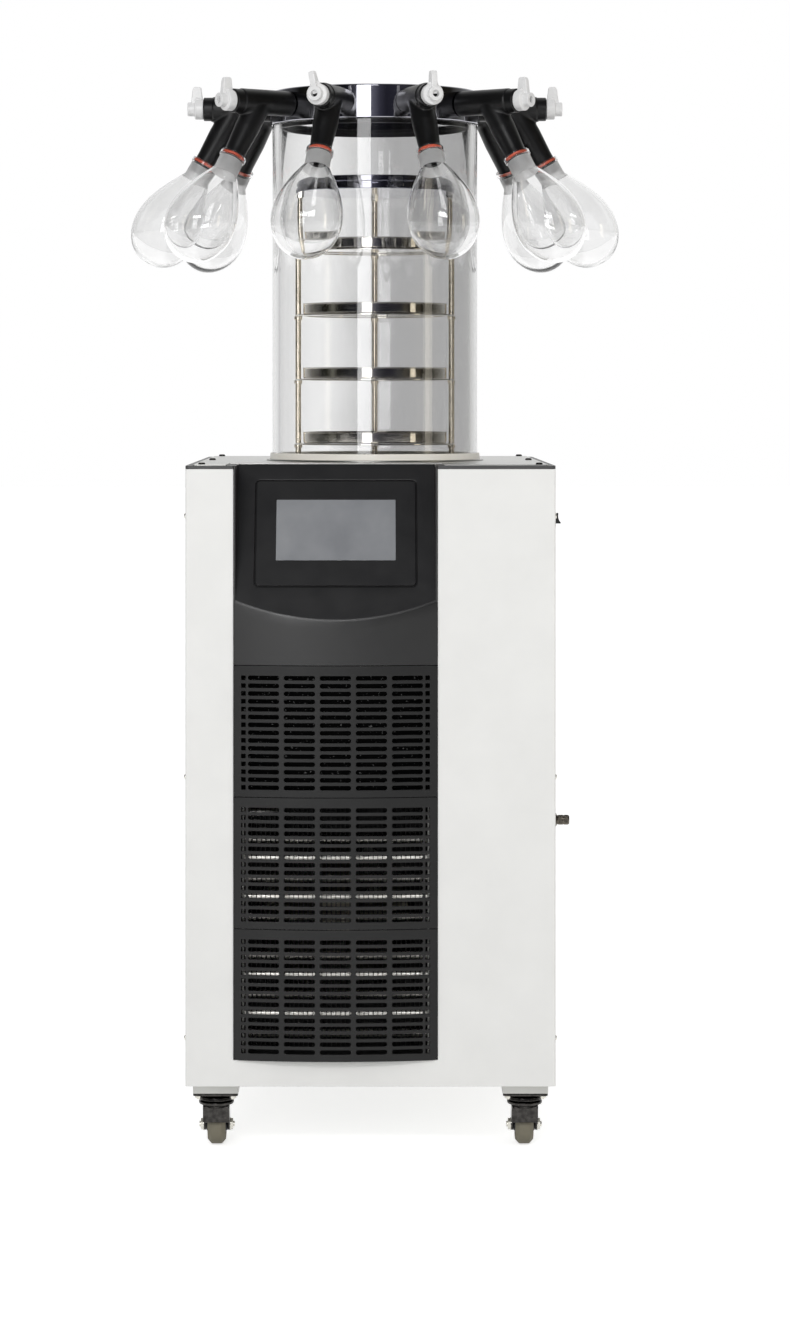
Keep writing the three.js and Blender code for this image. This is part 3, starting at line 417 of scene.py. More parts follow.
class Graph:
    """Shader nodes of a material or of the world."""

    def __init__(self, tree):
        self.nodes = tree.nodes
        self.links = tree.links

    def feed(self, socket, value):
        """Value is a number or a colour, or the output of another node."""
        if isinstance(value, bpy.types.NodeSocket):
            self.links.new(value, socket)
        else:
            socket.default_value = value

    def node(self, kind, inputs=None, **settings):
        made = self.nodes.new("ShaderNode" + kind)
        for name, value in settings.items():
            setattr(made, name, value)
        for socket, value in (inputs or {}).items():
            self.feed(made.inputs[socket], value)
        return made

    def map_range(self, source, given, wanted=(0, 1)):
        """Runs over the wanted range while its source runs over the given one."""
        limits = {"From Min": given[0], "From Max": given[1], "To Min": wanted[0], "To Max": wanted[1]}
        return self.node("MapRange", {"Value": source, **limits}).outputs["Result"]

    def ramp(self, source, stops):
        """Colour ramp through stops of (position, screen colour)."""
        made = self.node("ValToRGB", {"Fac": source})
        elements = made.color_ramp.elements
        while len(elements) < len(stops):
            elements.new(0.5)
        for element, (position, code) in zip(elements, stops):
            element.position = position
            element.color = srgb(code)
        return made.outputs["Color"]


class Finish(Graph):
    """A procedural material around one Principled shader."""

    def __init__(self, name, **sockets):
        self.material = bpy.data.materials.new(name)
        self.material.use_nodes = True
        super().__init__(self.material.node_tree)
        self.shader = self.nodes["Principled BSDF"]
        for socket, value in sockets.items():
            self.feed(self.shader.inputs[socket.replace("_", " ")], value)

    def noise(self, size, detail=3, stretch=(1, 1, 1)):
        """Noise with features of that size in millimetres, longer along an axis by its stretch."""
        where = self.node("TexCoord").outputs["Object"]
        scale = [1 / (size * MM * longer) for longer in stretch]
        mapping = self.node("Mapping", {"Vector": where, "Scale": scale})
        texture = self.node("TexNoise", {"Vector": mapping.outputs["Vector"], "Scale": 1, "Detail": detail})
        return texture.outputs["Fac"]

    def across(self, half, drift=60):
        """Runs from about 0 on the left to about 1 on the right, with a little noise."""
        where = self.node("TexCoord").outputs["Object"]
        axes = self.node("SeparateXYZ", {"Vector": where})
        even = self.map_range(axes.outputs["X"], (-half * MM, half * MM), (-0.08, 0.92))
        uneven = self.node("Math", {0: self.noise(drift), 1: 0.16, 2: even}, operation="MULTIPLY_ADD")
        return uneven.outputs["Value"]

    def colour(self, source, low, high, spread=(0.3, 0.7)):
        """Base colour between two screen colours."""
        self.feed(self.shader.inputs["Base Color"], self.ramp(source, list(zip(spread, (low, high)))))
        return self

    def roughness(self, source, low, high):
        self.feed(self.shader.inputs["Roughness"], self.map_range(source, (0.3, 0.7), (low, high)))
        return self

    def bump(self, source, height):
        """Height is in millimetres."""
        relief = self.node("Bump", {"Height": source, "Distance": height * MM})
        self.feed(self.shader.inputs["Normal"], relief.outputs["Normal"])
        return self

    def show(self, shader):
        self.feed(self.nodes["Material Output"].inputs["Surface"], shader.outputs["Shader"])
        return self

    def lets_light_through(self, share):
        """Shadow rays pass, so that glass doesn't darken what stands behind it."""
        shadow = self.node("LightPath").outputs["Is Shadow Ray"]
        bare = self.node("BsdfTransparent", {"Color": (share, share, share, 1)}).outputs["BSDF"]
        return self.show(self.node("MixShader", {"Fac": shadow, 1: self.shader.outputs["BSDF"], 2: bare}))


def painted(name, low, high, roughness, peel=0.03, grain=1.4, **sockets):
    """Paint or moulded plastic: slight colour drift, uneven gloss and a fine skin."""
    finish = Finish(name, **sockets)
    finish.colour(finish.noise(60), low, high)
    finish.roughness(finish.noise(25), *roughness)
    finish.bump(finish.noise(grain, 2), peel)
    return finish.material


def metal(name, low, high, roughness, grain=8.0, stretch=(1, 1, 1), relief=0.01, **sockets):
    """Bare metal with a grain that may run along an axis."""
    finish = Finish(name, Metallic=1.0, **sockets)
    texture = finish.noise(grain, 4, stretch)
    finish.colour(texture, low, high)
    finish.roughness(finish.noise(grain * 0.7, 3, stretch), *roughness)
    finish.bump(texture, relief)
    return finish.material


def glass(name, low, high, roughness, drift, relief=0.05, clearness=1.0):
    finish = Finish(name, Transmission_Weight=clearness, IOR=1.47)
    finish.colour(finish.noise(drift), low, high)
    finish.roughness(finish.noise(drift * 0.5), *roughness)
    finish.bump(finish.noise(drift, 1), relief)
    return finish.lets_light_through(CLEAR_SHARE).material


def acrylic():
    """Clear plastic whose colour darkens towards the right: painted shade for the darker room seen through it."""
    finish = Finish("acrylic", Transmission_Weight=1.0, IOR=1.49)
    # painted shade: the colour runs from clear on the left to darker on the right
    finish.colour(finish.across(CHAMBER_RADIUS), 0xFEFEFE, 0xD6D6D6, (0.25, 0.6))
    finish.roughness(finish.noise(60), 0.0, 0.015)
    finish.bump(finish.noise(90, 1), 0.05)
    return finish.lets_light_through(CLEAR_SHARE).material


def shade_filter_cloth():
    """Black dust filter that stands in for the shade inside the cabinet, with painted glints as a few bright
    threads.
    """
    finish = Finish("shade_filter_cloth", Roughness=0.9, Specular_IOR_Level=0.1)
    # painted glints: sparse light specks on the black
    finish.colour(finish.noise(3.5, 2), 0x030303, 0x6A6A6A, (0.64, 0.72))
    finish.bump(finish.noise(1.5, 2), 0.4)
    return finish.material


ACRYLIC = acrylic()
SHADE_FILTER_CLOTH = shade_filter_cloth()
WHITE_PAINT = painted("white_paint", 0xECECEA, 0xF0F0EE, (0.36, 0.46), Specular_IOR_Level=0.4)
PALE_STEEL = painted("pale_steel", 0xD2D2CE, 0xDCDCD8, (0.35, 0.5), Metallic=0.2)
BLACK_PLASTIC = painted("black_plastic", 0x191919, 0x1D1D1D, (0.3, 0.38), peel=0.02, grain=0.7)
GRILLE_PLASTIC = painted(
    "grille_plastic", 0x0F0F0F, 0x131313, (0.36, 0.46), peel=0.02, grain=0.7, Specular_IOR_Level=0.36,
)
DECK_EDGE = painted("deck_edge", 0x3B3B3C, 0x4A4A4A, (0.35, 0.5))
SCREEN_GLASS = painted("screen_glass", 0x808286, 0x919396, (0.1, 0.18), peel=0.004, grain=20)
BLACK_PAINT = painted("black_paint", 0x0E0E0E, 0x141414, (0.4, 0.55), peel=0.05)
# painted shade: the fins are near black to stand for the dark inside of the cabinet
SHADE_DARK_FINS = painted("shade_dark_fins", 0x0E0E0D, 0x181816, (0.45, 0.6), peel=0.02, Specular_IOR_Level=0.25)
WHEEL_RUBBER = painted("wheel_rubber", 0x6E6A5B, 0x7C7767, (0.6, 0.8), peel=0.06, grain=2.5)
BLACK_RUBBER = painted(
    "black_rubber", 0x0B0B0C, 0x101011, (0.32, 0.44), peel=0.02, grain=1.2, Specular_IOR_Level=0.32,
)
WHITE_PLASTIC = painted("white_plastic", 0xE4E4E4, 0xEAEAEA, (0.22, 0.32), peel=0.01, grain=3)
SEAL_RUBBER = painted("seal_rubber", 0xF6F1E6, 0xFBF8F0, (0.4, 0.55), peel=0.02)
ORANGE_SEAL = painted("orange_seal", 0xB84A33, 0xC85A40, (0.35, 0.5), peel=0.02)
BRUSHED_STEEL = metal("brushed_steel", 0xAAAAA7, 0xC4C4C1, (0.26, 0.38), 0.6, (90, 1, 1), 0.004)
RACK_STEEL = metal("rack_steel", 0xD4D0C8, 0xE0DDD6, (0.04, 0.09), 14)
PLATE_STEEL = metal("plate_steel", 0x82828E, 0x92929C, (0.04, 0.08), 14)
ROD_STEEL = metal("rod_steel", 0xE2D8C6, 0xEEE6D6, (0.16, 0.24), 10)
BRIGHT_TUBE = metal("bright_tube", 0xF4F0E8, 0xFAF8F2, (0.3, 0.45), 5)
MIRROR_STEEL = metal("mirror_steel", 0xA2A2AA, 0xAEAEB4, (0.03, 0.07), 40)
ALUMINIUM = metal("aluminium", 0xB4B0A4, 0xC8C4B8, (0.32, 0.45), 4)
DARK_STEEL = metal("dark_steel", 0x5C574F, 0x6E6960, (0.24, 0.34), 3)
DARK_CHROME = metal("dark_chrome", 0x302F2E, 0x4C4A48, (0.16, 0.28), 6)
PLATED_STEEL = metal("plated_steel", 0xC6C4BC, 0xD8D6CE, (0.2, 0.32), 5)
BRASS = metal("brass", 0xB59A5C, 0xC4A968, (0.22, 0.32), 5)
FLASK_GLASS = glass("flask_glass", 0xF8F8F8, 0xFCFCFC, (0.0, 0.01), 60)
GROUND_GLASS = glass("ground_glass", 0xE4E4E4, 0xECECEC, (0.42, 0.55), 6, relief=0.02, clearness=0.6)


# ---------------------------------------------------------------- screws
def cross_screw(radius):
    """Pan head screw with a cross recess; its seat is at Z = 0."""
    head = lathe([(0, -1), (radius, -1), (radius, radius * 0.5, radius * 0.42), (0, radius * 0.55)], 32)
    arm = radius * 0.58
    cross = boolean(
        block(-arm, arm, -radius * 0.13, radius * 0.13, radius * 0.12, radius, 0),
        block(-radius * 0.13, radius * 0.13, -arm, arm, radius * 0.12, radius, 0),
        "UNION",
    )
    return to_mesh(boolean(head, cross), "cross_screw")


def socket_screw(radius, height):
    """Button head screw with a hexagon socket; its seat is at Z = 0."""
    head = lathe([(0, -1), (radius, -1), (radius, height, height * 0.8), (0, height)], 32)
    return to_mesh(boolean(head, hexagon(radius * 0.95, height * 0.35, height + 1, 0)), "socket_screw")


PANEL_SCREW = cross_screw(3.6)
SMALL_SCREW = cross_screw(2.4)
DECK_SCREW = socket_screw(4.5, 2.6)


# ---------------------------------------------------------------- cabinet shell
SHEET = 1.5
PANEL_RETURN = 20
SIDE_LIP = 12
FOLD = 2.6  # outer radius of a folded edge
SWITCH_BODY = (18, 17)  # depth and height behind the switch's flange
INLET_BODY = (26, 22)  # width and height behind the inlet's flange
NOZZLE_RADIUS = 6.3
PIPE_RADIUS = 14
THROUGH = 5  # a cutting solid reaches this far past the sheet
VENT_COLUMNS = [FRONT.cx - 75, FRONT.cx + 75]
VENT_ROWS, VENT_PITCH, FIRST_VENT_Z = 8, 20, 300


def folded_panel(face, inward):
    """Panel that folds back at both ends; inward is +1 for the front panel and -1 for the rear one."""
    back = face + inward * PANEL_RETURN
    inner = face + inward * SHEET
    left, right = FRONT.x0, FRONT.x1
    outline = [
        (left, face, FOLD), (right, face, FOLD), (right, back), (right - SHEET, back),
        (right - SHEET, inner, FOLD - SHEET), (left + SHEET, inner, FOLD - SHEET),
        (left + SHEET, back), (left, back),
    ]
    return prism(outline, FRONT.z0, FRONT.z1)


def return_screws(build, face, inward):
    """Screws in the folded edges, which show on the cabinet's sides."""
    y = face + inward * (PANEL_RETURN - 8)
    for height in (FRONT.z0 + 60, FRONT.cz, FRONT.z1 - 60):
        build.add(PANEL_SCREW, move(FRONT.x1, y, height) @ ALONG_X, 1)
        build.add(PANEL_SCREW, move(FRONT.x0, y, height) @ turn(-90, "Y"), 1)


def front_panel():
    grille = Span("lower_grille")
    opening = block(
        COLUMN.x0 - GAP, COLUMN.x1 + GAP, FRONT.y0 - THROUGH, FRONT.y0 + SHEET + 2,
        grille.z0 - GAP, FRONT.z1 + THROUGH, 0,
    )
    sheet = boolean(folded_panel(FRONT.y0, 1), opening)
    round_edges(sheet, sharp_edges(sheet, 60), 0.3, 1)
    build = Build().add(sheet)
    return_screws(build, FRONT.y0, 1)
    make(
        "front_panel_sheet", build, [WHITE_PAINT, PLATED_STEEL],
        stands_for=["front_panel"],
    )


def vent_slots():
    width, height = 110, 8
    slots = []
    for x in VENT_COLUMNS:
        for row in range(VENT_ROWS):
            outline = oblong(x, FIRST_VENT_Z + row * VENT_PITCH, width, height, height / 2 - 0.1)
            slots.append(prism_y(outline, REAR.y1 - SHEET - 2, REAR.y1 + THROUGH, step=30))
    return slots


def rear_panel():
    pipe = Span("cold_trap")
    inlet = Span("power_inlet")
    half_width, half_height = (size / 2 + GAP for size in INLET_BODY)
    holes = vent_slots()
    around_pipe = circle(CYLINDER.cx, VACUUM_PIPE_Z, PIPE_RADIUS + GAP, 32)
    holes.append(prism_y(around_pipe, REAR.y1 - THROUGH, pipe.y1))
    holes.append(block(
        inlet.cx - half_width, inlet.cx + half_width, REAR.y1 - THROUGH, REAR.y1 + THROUGH,
        inlet.cz - half_height, inlet.cz + half_height, 0,
    ))
    sheet = boolean(folded_panel(REAR.y1, -1), gathered(*holes))
    round_edges(sheet, sharp_edges(sheet, 60), 0.3, 1)
    build = Build().add(sheet)
    return_screws(build, REAR.y1, -1)
    for x in (FRONT.x0 + 9, FRONT.cx, FRONT.x1 - 9):
        for height in (FRONT.z0 + 12, FRONT.z1 - 12):
            build.add(PANEL_SCREW, move(x, REAR.y1, height) @ ALONG_Y, 1)
    make(
        "rear_panel_sheet", build, [WHITE_PAINT, PLATED_STEEL],
        stands_for=["rear_panel"],
    )


def right_side_holes():
    """Cuts for the switch's body and for the drain nozzle."""
    switch = Span("switch_housing")
    nozzle = Span("drain_nozzle")
    low, high = FRONT.x1 - THROUGH, FRONT.x1 + THROUGH
    window = oblong(switch.cy, switch.cz, *(size + 2 * GAP for size in SWITCH_BODY), 1)
    return [
        prism_x(window, low, high),
        prism_x(circle(nozzle.cy, nozzle.cz, NOZZLE_RADIUS + GAP, 48), low, high),
    ]


def side_panel(name, side, holes=()):
    """Side is +1 for the right panel and -1 for the left one."""
    panel = Span(name)
    outer = panel.x1 if side > 0 else panel.x0
    inner = outer - side * SHEET
    lip = outer - side * SIDE_LIP
    low, high = panel.y0, panel.y1
    outline = [
        (outer, low, FOLD - 0.6), (outer, high, FOLD - 0.6), (lip, high), (lip, high - SHEET),
        (inner, high - SHEET, 0.6),
        (inner, low + SHEET, 0.6), (lip, low + SHEET), (lip, low),
    ]
    sheet = prism(outline, panel.z0, panel.z1, round_by=0.3, segments=1)
    if holes:
        sheet = boolean(sheet, gathered(*holes))
    make(f"{name}_sheet", Build().add(sheet), [WHITE_PAINT], stands_for=[name])


def deck():
    """Dark board with a brushed sheet laid on it, and a notch in front for the leaning control face."""
    top = Span("top_deck")
    board_top = top.z1 - 1.2
    screw_inset = 20
    notch_back = COLUMN_TOP_BACK + GAP
    notch = (COLUMN.x0 - GAP, COLUMN.x1 + GAP)

    def plan(inset, corner):
        return [
            (top.x0 + inset, top.y0 + inset, corner), (notch[0] - inset, top.y0 + inset, 1),
            (notch[0] - inset, notch_back + inset, 1), (notch[1] + inset, notch_back + inset, 1),
            (notch[1] + inset, top.y0 + inset, 1), (top.x1 - inset, top.y0 + inset, corner),
            (top.x1 - inset, top.y1 - inset, corner), (top.x0 + inset, top.y1 - inset, corner),
        ]

    well = [circle(CYLINDER.cx, CYLINDER.cy, TRAP_RADIUS + TRAP_WALL + GAP, 96)]
    board = Build().add(prism(plan(0, 4), top.z0, board_top, holes=well, round_by=0.8))
    make("deck_board", board, [DECK_EDGE], stands_for=["top_deck"])
    sheet = Build().add(prism(plan(9, 3), board_top, top.z1, holes=well, round_by=0.4))
    for x in (top.x0 + screw_inset, top.x1 - screw_inset):
        for y in (top.y0 + screw_inset, top.cy, top.y1 - screw_inset):
            sheet.add(DECK_SCREW, move(x, y, top.z1), 1)
    make("deck_sheet", sheet, [BRUSHED_STEEL, DARK_CHROME], stands_for=["top_deck"])


def base_tray():
    """Shallow tray with a raised pad over each castor."""
    tray = Span("base_tray")
    pad_top, pad_bottom, pad_half = FRONT.z0, 73.6, 29
    wall = 1.5
    y_inset = PANEL_RETURN + 3
    build = Build()
    build.add(block(tray.x0, tray.x1, tray.y0, tray.y1, pad_top, pad_top + 2, 0.4, 1))
    for x in (tray.x0, tray.x1 - wall):
        build.add(block(x, x + wall, tray.y0 + y_inset, tray.y1 - y_inset, pad_top + 1, tray.z1, 0.3, 1))
    for y in (tray.y0, tray.y1 - wall):
        build.add(block(tray.x0 + SIDE_LIP, tray.x1 - SIDE_LIP, y, y + wall, pad_top + 1, tray.z1, 0.3, 1))
    for x, y, _ in CASTORS:
        pad = [
            (x - pad_half, pad_bottom), (x + pad_half, pad_bottom), (x + pad_half, pad_top - 6, 2),
            (x + pad_half - 4, pad_top), (x - pad_half + 4, pad_top), (x - pad_half, pad_top - 6, 2),
        ]
        build.add(prism_y(pad, y - pad_half, y + pad_half, round_by=1))
    make("base_tray_sheet", build, [PALE_STEEL], stands_for=["base_tray"])


# ---------------------------------------------------------------- castors
WHEEL_TRAIL = 18
AXLE_HEIGHT = 25
HUB_HALF = 13.7


def castor_places():
    """Swivel axis of each castor, found from its wheel's box, and its place: (x, y, place)."""
    places = []
    for name in ("front_left", "front_right", "rear_left", "rear_right"):
        wheel = Span(f"castor_wheel_{name}")
        places.append((wheel.cx, wheel.cy - WHEEL_TRAIL, name))
    return places


CASTORS = castor_places()


def castor_plate_mesh():
    """Mounting plate with the fixed upper race; the swivel axis is Z."""
    build = Build()
    build.add(prism(oblong(0, 0, 58, 58, 5), 70.3, 73.3, round_by=0.6))
    race = [(0, 62), (20, 61.3), (23, 62.2, 1), (22.4, 66, 1), (18, 68.5, 1.5), (17, 70.6), (0, 70.6)]
    build.add(lathe(race, 48))
    for sx, sy in CORNERS:
        bolt = move(sx * 22, sy * 22)
        build.add(hexagon(8, 67.2, 70.4), bolt, 1)
        build.add(lathe([(0, 65.6), (2.4, 65.6, 0.4), (2.4, 67.4), (0, 67.4)], 20), bolt, 1)
    return piece_mesh("castor_plate", build, [DARK_CHROME, PLATED_STEEL])


def castor_fork_mesh():
    """Pressed fork under the turning lower race, with its axle bolt and nuts."""
    crown = 52
    inner, outer = HUB_HALF + GAP, HUB_HALF + GAP + 3
    build = Build()
    build.add(lathe([
        (0, crown), (16, crown), (19, crown + 3, 1), (22.4, crown + 4.5, 1), (23, crown + 7.5, 1),
        (20, crown + 8.7), (0, crown + 8.7),
    ], 48))
    build.add(lathe([(8, 57), (12, 59), (12.5, 61.5), (8, 61.5)], 24, closed=True), None, 1)
    build.add(block(-outer, outer, -12, 14, crown - 1, crown + 4, 1.6, 3))
    build.add(block(-outer, outer, -13, -10.4, 33, crown + 2.5, 1.2, 3))
    leg = [
        (-15, crown - 1, 5), (-12, crown + 4, 3), (14, crown + 4, 3), (18, crown - 1, 6),
        (27, 27, 10), (24.5, 17.5, 7),
        (11.5, 17.5, 7), (8, 27, 9),
    ]
    axle = move(0, WHEEL_TRAIL, AXLE_HEIGHT) @ ALONG_X
    for side in (-1, 1):
        build.add(prism_x(leg, *outwards(side, inner, outer), round_by=0.8))
        build.add(hexagon(13, *outwards(side, outer, outer + 4), 0.7), axle, 1)
        build.add(pin(3.6, *outwards(side, outer + 3.5, 23), 0.6), axle, 1)
        build.add(pin(8.4, *outwards(side, outer - 0.2, outer + 0.8), 0.2, 32), axle, 1)
    return piece_mesh("castor_fork", build, [DARK_CHROME, PLATED_STEEL])


def castor_wheel_mesh():
    """Rubber tyre on a rim with a plain hub; the axle is X through the origin."""
    build = Build()
    radius, half = 24.97, 12
    build.add(lathe([
        (16, -half + 1.2, 0.6), (radius - 6, -half, 1.5), (radius, -half + 5.5, 3), (radius, half - 5.5, 3),
        (radius - 6, half, 1.5), (16, half - 1.2, 0.6),
    ], 72, closed=True), ALONG_X)
    build.add(lathe([
        (4.3, -HUB_HALF, 0.4), (8, -HUB_HALF, 0.8), (9, -half + 0.5, 0.6), (13.5, -half + 2, 1.5),
        (16.4, -half + 0.6, 0.5), (16.4, half - 0.6, 0.5), (13.5, half - 2, 1.5), (9, half - 0.5, 0.6),
        (8, HUB_HALF, 0.8), (4.3, HUB_HALF, 0.4),
    ], 48, closed=True), ALONG_X, 1)
    return piece_mesh("castor_wheel", build, [WHEEL_RUBBER, BLACK_RUBBER])


def castors():
    plate, fork, wheel = castor_plate_mesh(), castor_fork_mesh(), castor_wheel_mesh()
    for x, y, name in CASTORS:
        at = move(x, y)
        place(f"castor_plate_{name}", plate, "cabinet", at=at)
        place(f"castor_frame_{name}", fork, f"castor_{name}", [f"castor_fork_{name}"], at)
        hub = move(x, y + WHEEL_TRAIL, AXLE_HEIGHT)
        place(f"castor_tyre_{name}", wheel, f"wheel_{name}", [f"castor_wheel_{name}"], hub)


# ---------------------------------------------------------------- black front column
COLUMN_HALF = 130
MOULDING = 3  # wall of a moulding
SIDE_WALL = 2.5
SIDE_DEPTH = 12  # the side walls reach this far behind the panel's face
COLUMN_EDGE_Y = FRONT.y0 - 1.5
BULGE = COLUMN_EDGE_Y - Span("middle_grille").y0
BULGE_RADIUS = (COLUMN_HALF ** 2 + BULGE ** 2) / (2 * BULGE)
SLOT_PITCH_X, SLOT_PITCH_Z = 45.8, 9.96
SLOT_HALF_WIDTH, SLOT_HALF_HEIGHT = 19.8, 2.9
SLOT_ROWS, SLOT_COLUMNS = 15, 5
FIRST_ROW = 15.4  # top edge of a grille to the middle of its first row
END_HOLE_X = 117.3
END_HOLE_CELL = (112.9, 121.7)

LEAN_DEGREES = 27
LEAN = math.radians(LEAN_DEGREES)
FACE_FOOT_Z = COLUMN.z0 + 55.1
FACE_FOOT_Y = COLUMN_EDGE_Y - 13
FACE_LENGTH = (COLUMN.z1 - FACE_FOOT_Z) / math.cos(LEAN)
COLUMN_TOP_BACK = FACE_FOOT_Y + (COLUMN.z1 - FACE_FOOT_Z) * math.tan(LEAN) + MOULDING / math.cos(LEAN)
FACE_FRAME = move(0, FACE_FOOT_Y, FACE_FOOT_Z) @ turn(-LEAN_DEGREES, "X")
ONTO_FACE = move(COLUMN.cx) @ FACE_FRAME
DISPLAY_WIDTH, DISPLAY_HEIGHT = 204, 147
DISPLAY_MIDDLE = FACE_LENGTH - 25 - DISPLAY_HEIGHT / 2
DISPLAY_GROOVE = 2.3
POCKET_DEPTH = 5.3
SCREEN_WIDTH, SCREEN_HEIGHT = 154, 86
SCREEN_MIDDLE = DISPLAY_MIDDLE + 4.8
VACUUM_PIPE_Z = Span("top_deck").z1 - 80


def bulge_y(x):
    """Front of the column at a distance from its middle."""
    return COLUMN_EDGE_Y - (math.sqrt(BULGE_RADIUS ** 2 - x ** 2) - (BULGE_RADIUS - BULGE))


def hole_ring(bm, cell, hole, corner):
    """Quads between a rounded hole and the rectangle around it.

    The cell is (x0, x1, z0, z1) and the hole is (middle x, middle z, half width, half height).
    """
    x0, x1, z0, z1 = cell
    cx, cz, half_width, half_height = hole
    arc_steps, straight_steps = 4, 3
    inner, outer = [], []
    for sx, sz in ((1, 1), (-1, 1), (-1, -1), (1, -1)):
        edge_x = x1 if sx > 0 else x0
        edge_z = z1 if sz > 0 else z0
        flat = half_width - corner
        near = [(half_width, 0), (half_width, half_height - corner)]
        far = [(edge_x, cz), (edge_x, cz + (edge_z - cz) * 0.35)]
        for k in range(1, arc_steps + 1):
            a = math.pi / 2 * k / arc_steps
            near.append((flat + corner * math.cos(a), half_height - corner + corner * math.sin(a)))
        top_x = cx + sx * flat
        far.append((edge_x, cz + (edge_z - cz) * 0.7))
        far.append((edge_x, edge_z))
        far.append(((edge_x + top_x) / 2, edge_z))
        far.append((top_x, edge_z))
        for k in range(1, straight_steps + 1):
            near.append((flat * (1 - k / straight_steps), half_height))
            far.append((cx + sx * flat * (1 - k / straight_steps), edge_z))
        near = [(cx + sx * x, cz + sz * z) for x, z in near]
        if sx * sz < 0:
            near.reverse()
            far.reverse()
        inner += near[:-1]
        outer += far[:-1]
    inner_verts = [bm.verts.new((x, 0, z)) for x, z in inner]
    outer_verts = [bm.verts.new((x, 0, z)) for x, z in outer]
    band(bm, inner_verts, outer_verts)


def strip(bm, xs, zs):
    """Grid of quads."""
    grid_of(bm, [[bm.verts.new((x, 0, z)) for x in xs] for z in zs])


def distinct(values):
    return sorted({round(value, 4) for value in values})


def grille_sheet(height):
    """Flat sheet with its slots; the foot is at Z = 0."""
    bm = bmesh.new()
    columns = [(n - (SLOT_COLUMNS - 1) / 2) * SLOT_PITCH_X for n in range(SLOT_COLUMNS)]
    rows = [height - FIRST_ROW - n * SLOT_PITCH_Z for n in range(SLOT_ROWS)]
    half_row = SLOT_PITCH_Z / 2
    for z in rows:
        for x in columns:
            left = max(x - SLOT_PITCH_X / 2, -END_HOLE_CELL[0])
            right = min(x + SLOT_PITCH_X / 2, END_HOLE_CELL[0])
            hole = (x, z, SLOT_HALF_WIDTH, SLOT_HALF_HEIGHT)
            hole_ring(bm, (left, right, z - half_row, z + half_row), hole, SLOT_HALF_HEIGHT - 0.3)
        for side in (-1, 1):
            left, right = outwards(side, *END_HOLE_CELL)
            hole = (side * END_HOLE_X, z, SLOT_HALF_HEIGHT, SLOT_HALF_HEIGHT)
            hole_ring(bm, (left, right, z - half_row, z + half_row), hole, 1.0)
    top, bottom = rows[0] + half_row, rows[-1] - half_row
    on_rows = distinct(v.co.z for v in bm.verts if abs(v.co.x - END_HOLE_CELL[1]) < 1e-4)
    across = distinct(v.co.x for v in bm.verts if abs(v.co.z - top) < 1e-4)
    side_xs = [END_HOLE_CELL[1], (END_HOLE_CELL[1] + COLUMN_HALF) / 2, COLUMN_HALF]
    whole = distinct([*across, *side_xs, *(-x for x in side_xs)])
    strip(bm, side_xs, on_rows)
    strip(bm, sorted(-x for x in side_xs), on_rows)
    strip(bm, whole, [0, bottom / 2, bottom])
    strip(bm, whole, [top, (top + height) / 2, height])
    bmesh.ops.remove_doubles(bm, verts=bm.verts, dist=0.002)
    return bm


def round_foot(bm, radius=7):
    """Takes the two bottom corners off along an arc."""
    for side in (-1, 1):
        centre = Vector((side * (COLUMN_HALF - radius), 0, radius))
        for degrees in (15, 45, 75):
            angle = math.radians(degrees)
            outward = Vector((side * math.cos(angle), 0, -math.sin(angle)))
            bmesh.ops.bisect_plane(
                bm, geom=[*bm.verts, *bm.edges, *bm.faces], plane_co=centre + outward * radius,
                plane_no=outward, clear_outer=True,
            )


def face_front(bm):
    """Turns a sheet's faces towards the front."""
    bm.normal_update()
    bmesh.ops.recalc_face_normals(bm, faces=bm.faces)
    if sum(face.normal.y * face.calc_area() for face in bm.faces) > 0:
        bmesh.ops.reverse_faces(bm, faces=bm.faces)


def moulded(bm, round_by=0.45):
    """Solid moulding from its front sheet, with soft front edges."""
    face_front(bm)
    rim = thicken(bm, MOULDING)
    round_edges(bm, rim, round_by, 2)
    return bm


def column_wall(side):
    """Both faces of the column's wall on one side."""
    return [COLUMN.cx + x for x in outwards(side, COLUMN_HALF - SIDE_WALL, COLUMN_HALF)]


def side_walls(build, low, high):
    """Walls of a moulding that reach back into the cabinet."""
    for side in (-1, 1):
        x0, x1 = column_wall(side)
        build.add(block(x0, x1, COLUMN_EDGE_Y + 2, FRONT.y0 + SIDE_DEPTH, low, high, 0.3, 1))


def grilles():
    for name in ("lower_grille", "middle_grille", "upper_grille"):
        node = Span(name)
        sheet = grille_sheet(node.z1 - node.z0)
        if name == "lower_grille":
            round_foot(sheet)
        for vert in sheet.verts:
            vert.co.y = bulge_y(vert.co.x)
        build = Build().add(moulded(sheet), move(COLUMN.cx, 0, node.z0))
        side_walls(build, node.z0 + 8, node.z1 - 0.5)
        make(f"{name}_moulding", build, [GRILLE_PLASTIC], stands_for=[name])


def face_plane_y(z):
    return FACE_FOOT_Y + (z - FACE_FOOT_Z) * math.tan(LEAN)


def display_outline(grow, radius):
    return oblong(0, DISPLAY_MIDDLE, DISPLAY_WIDTH + grow, DISPLAY_HEIGHT + grow, radius)


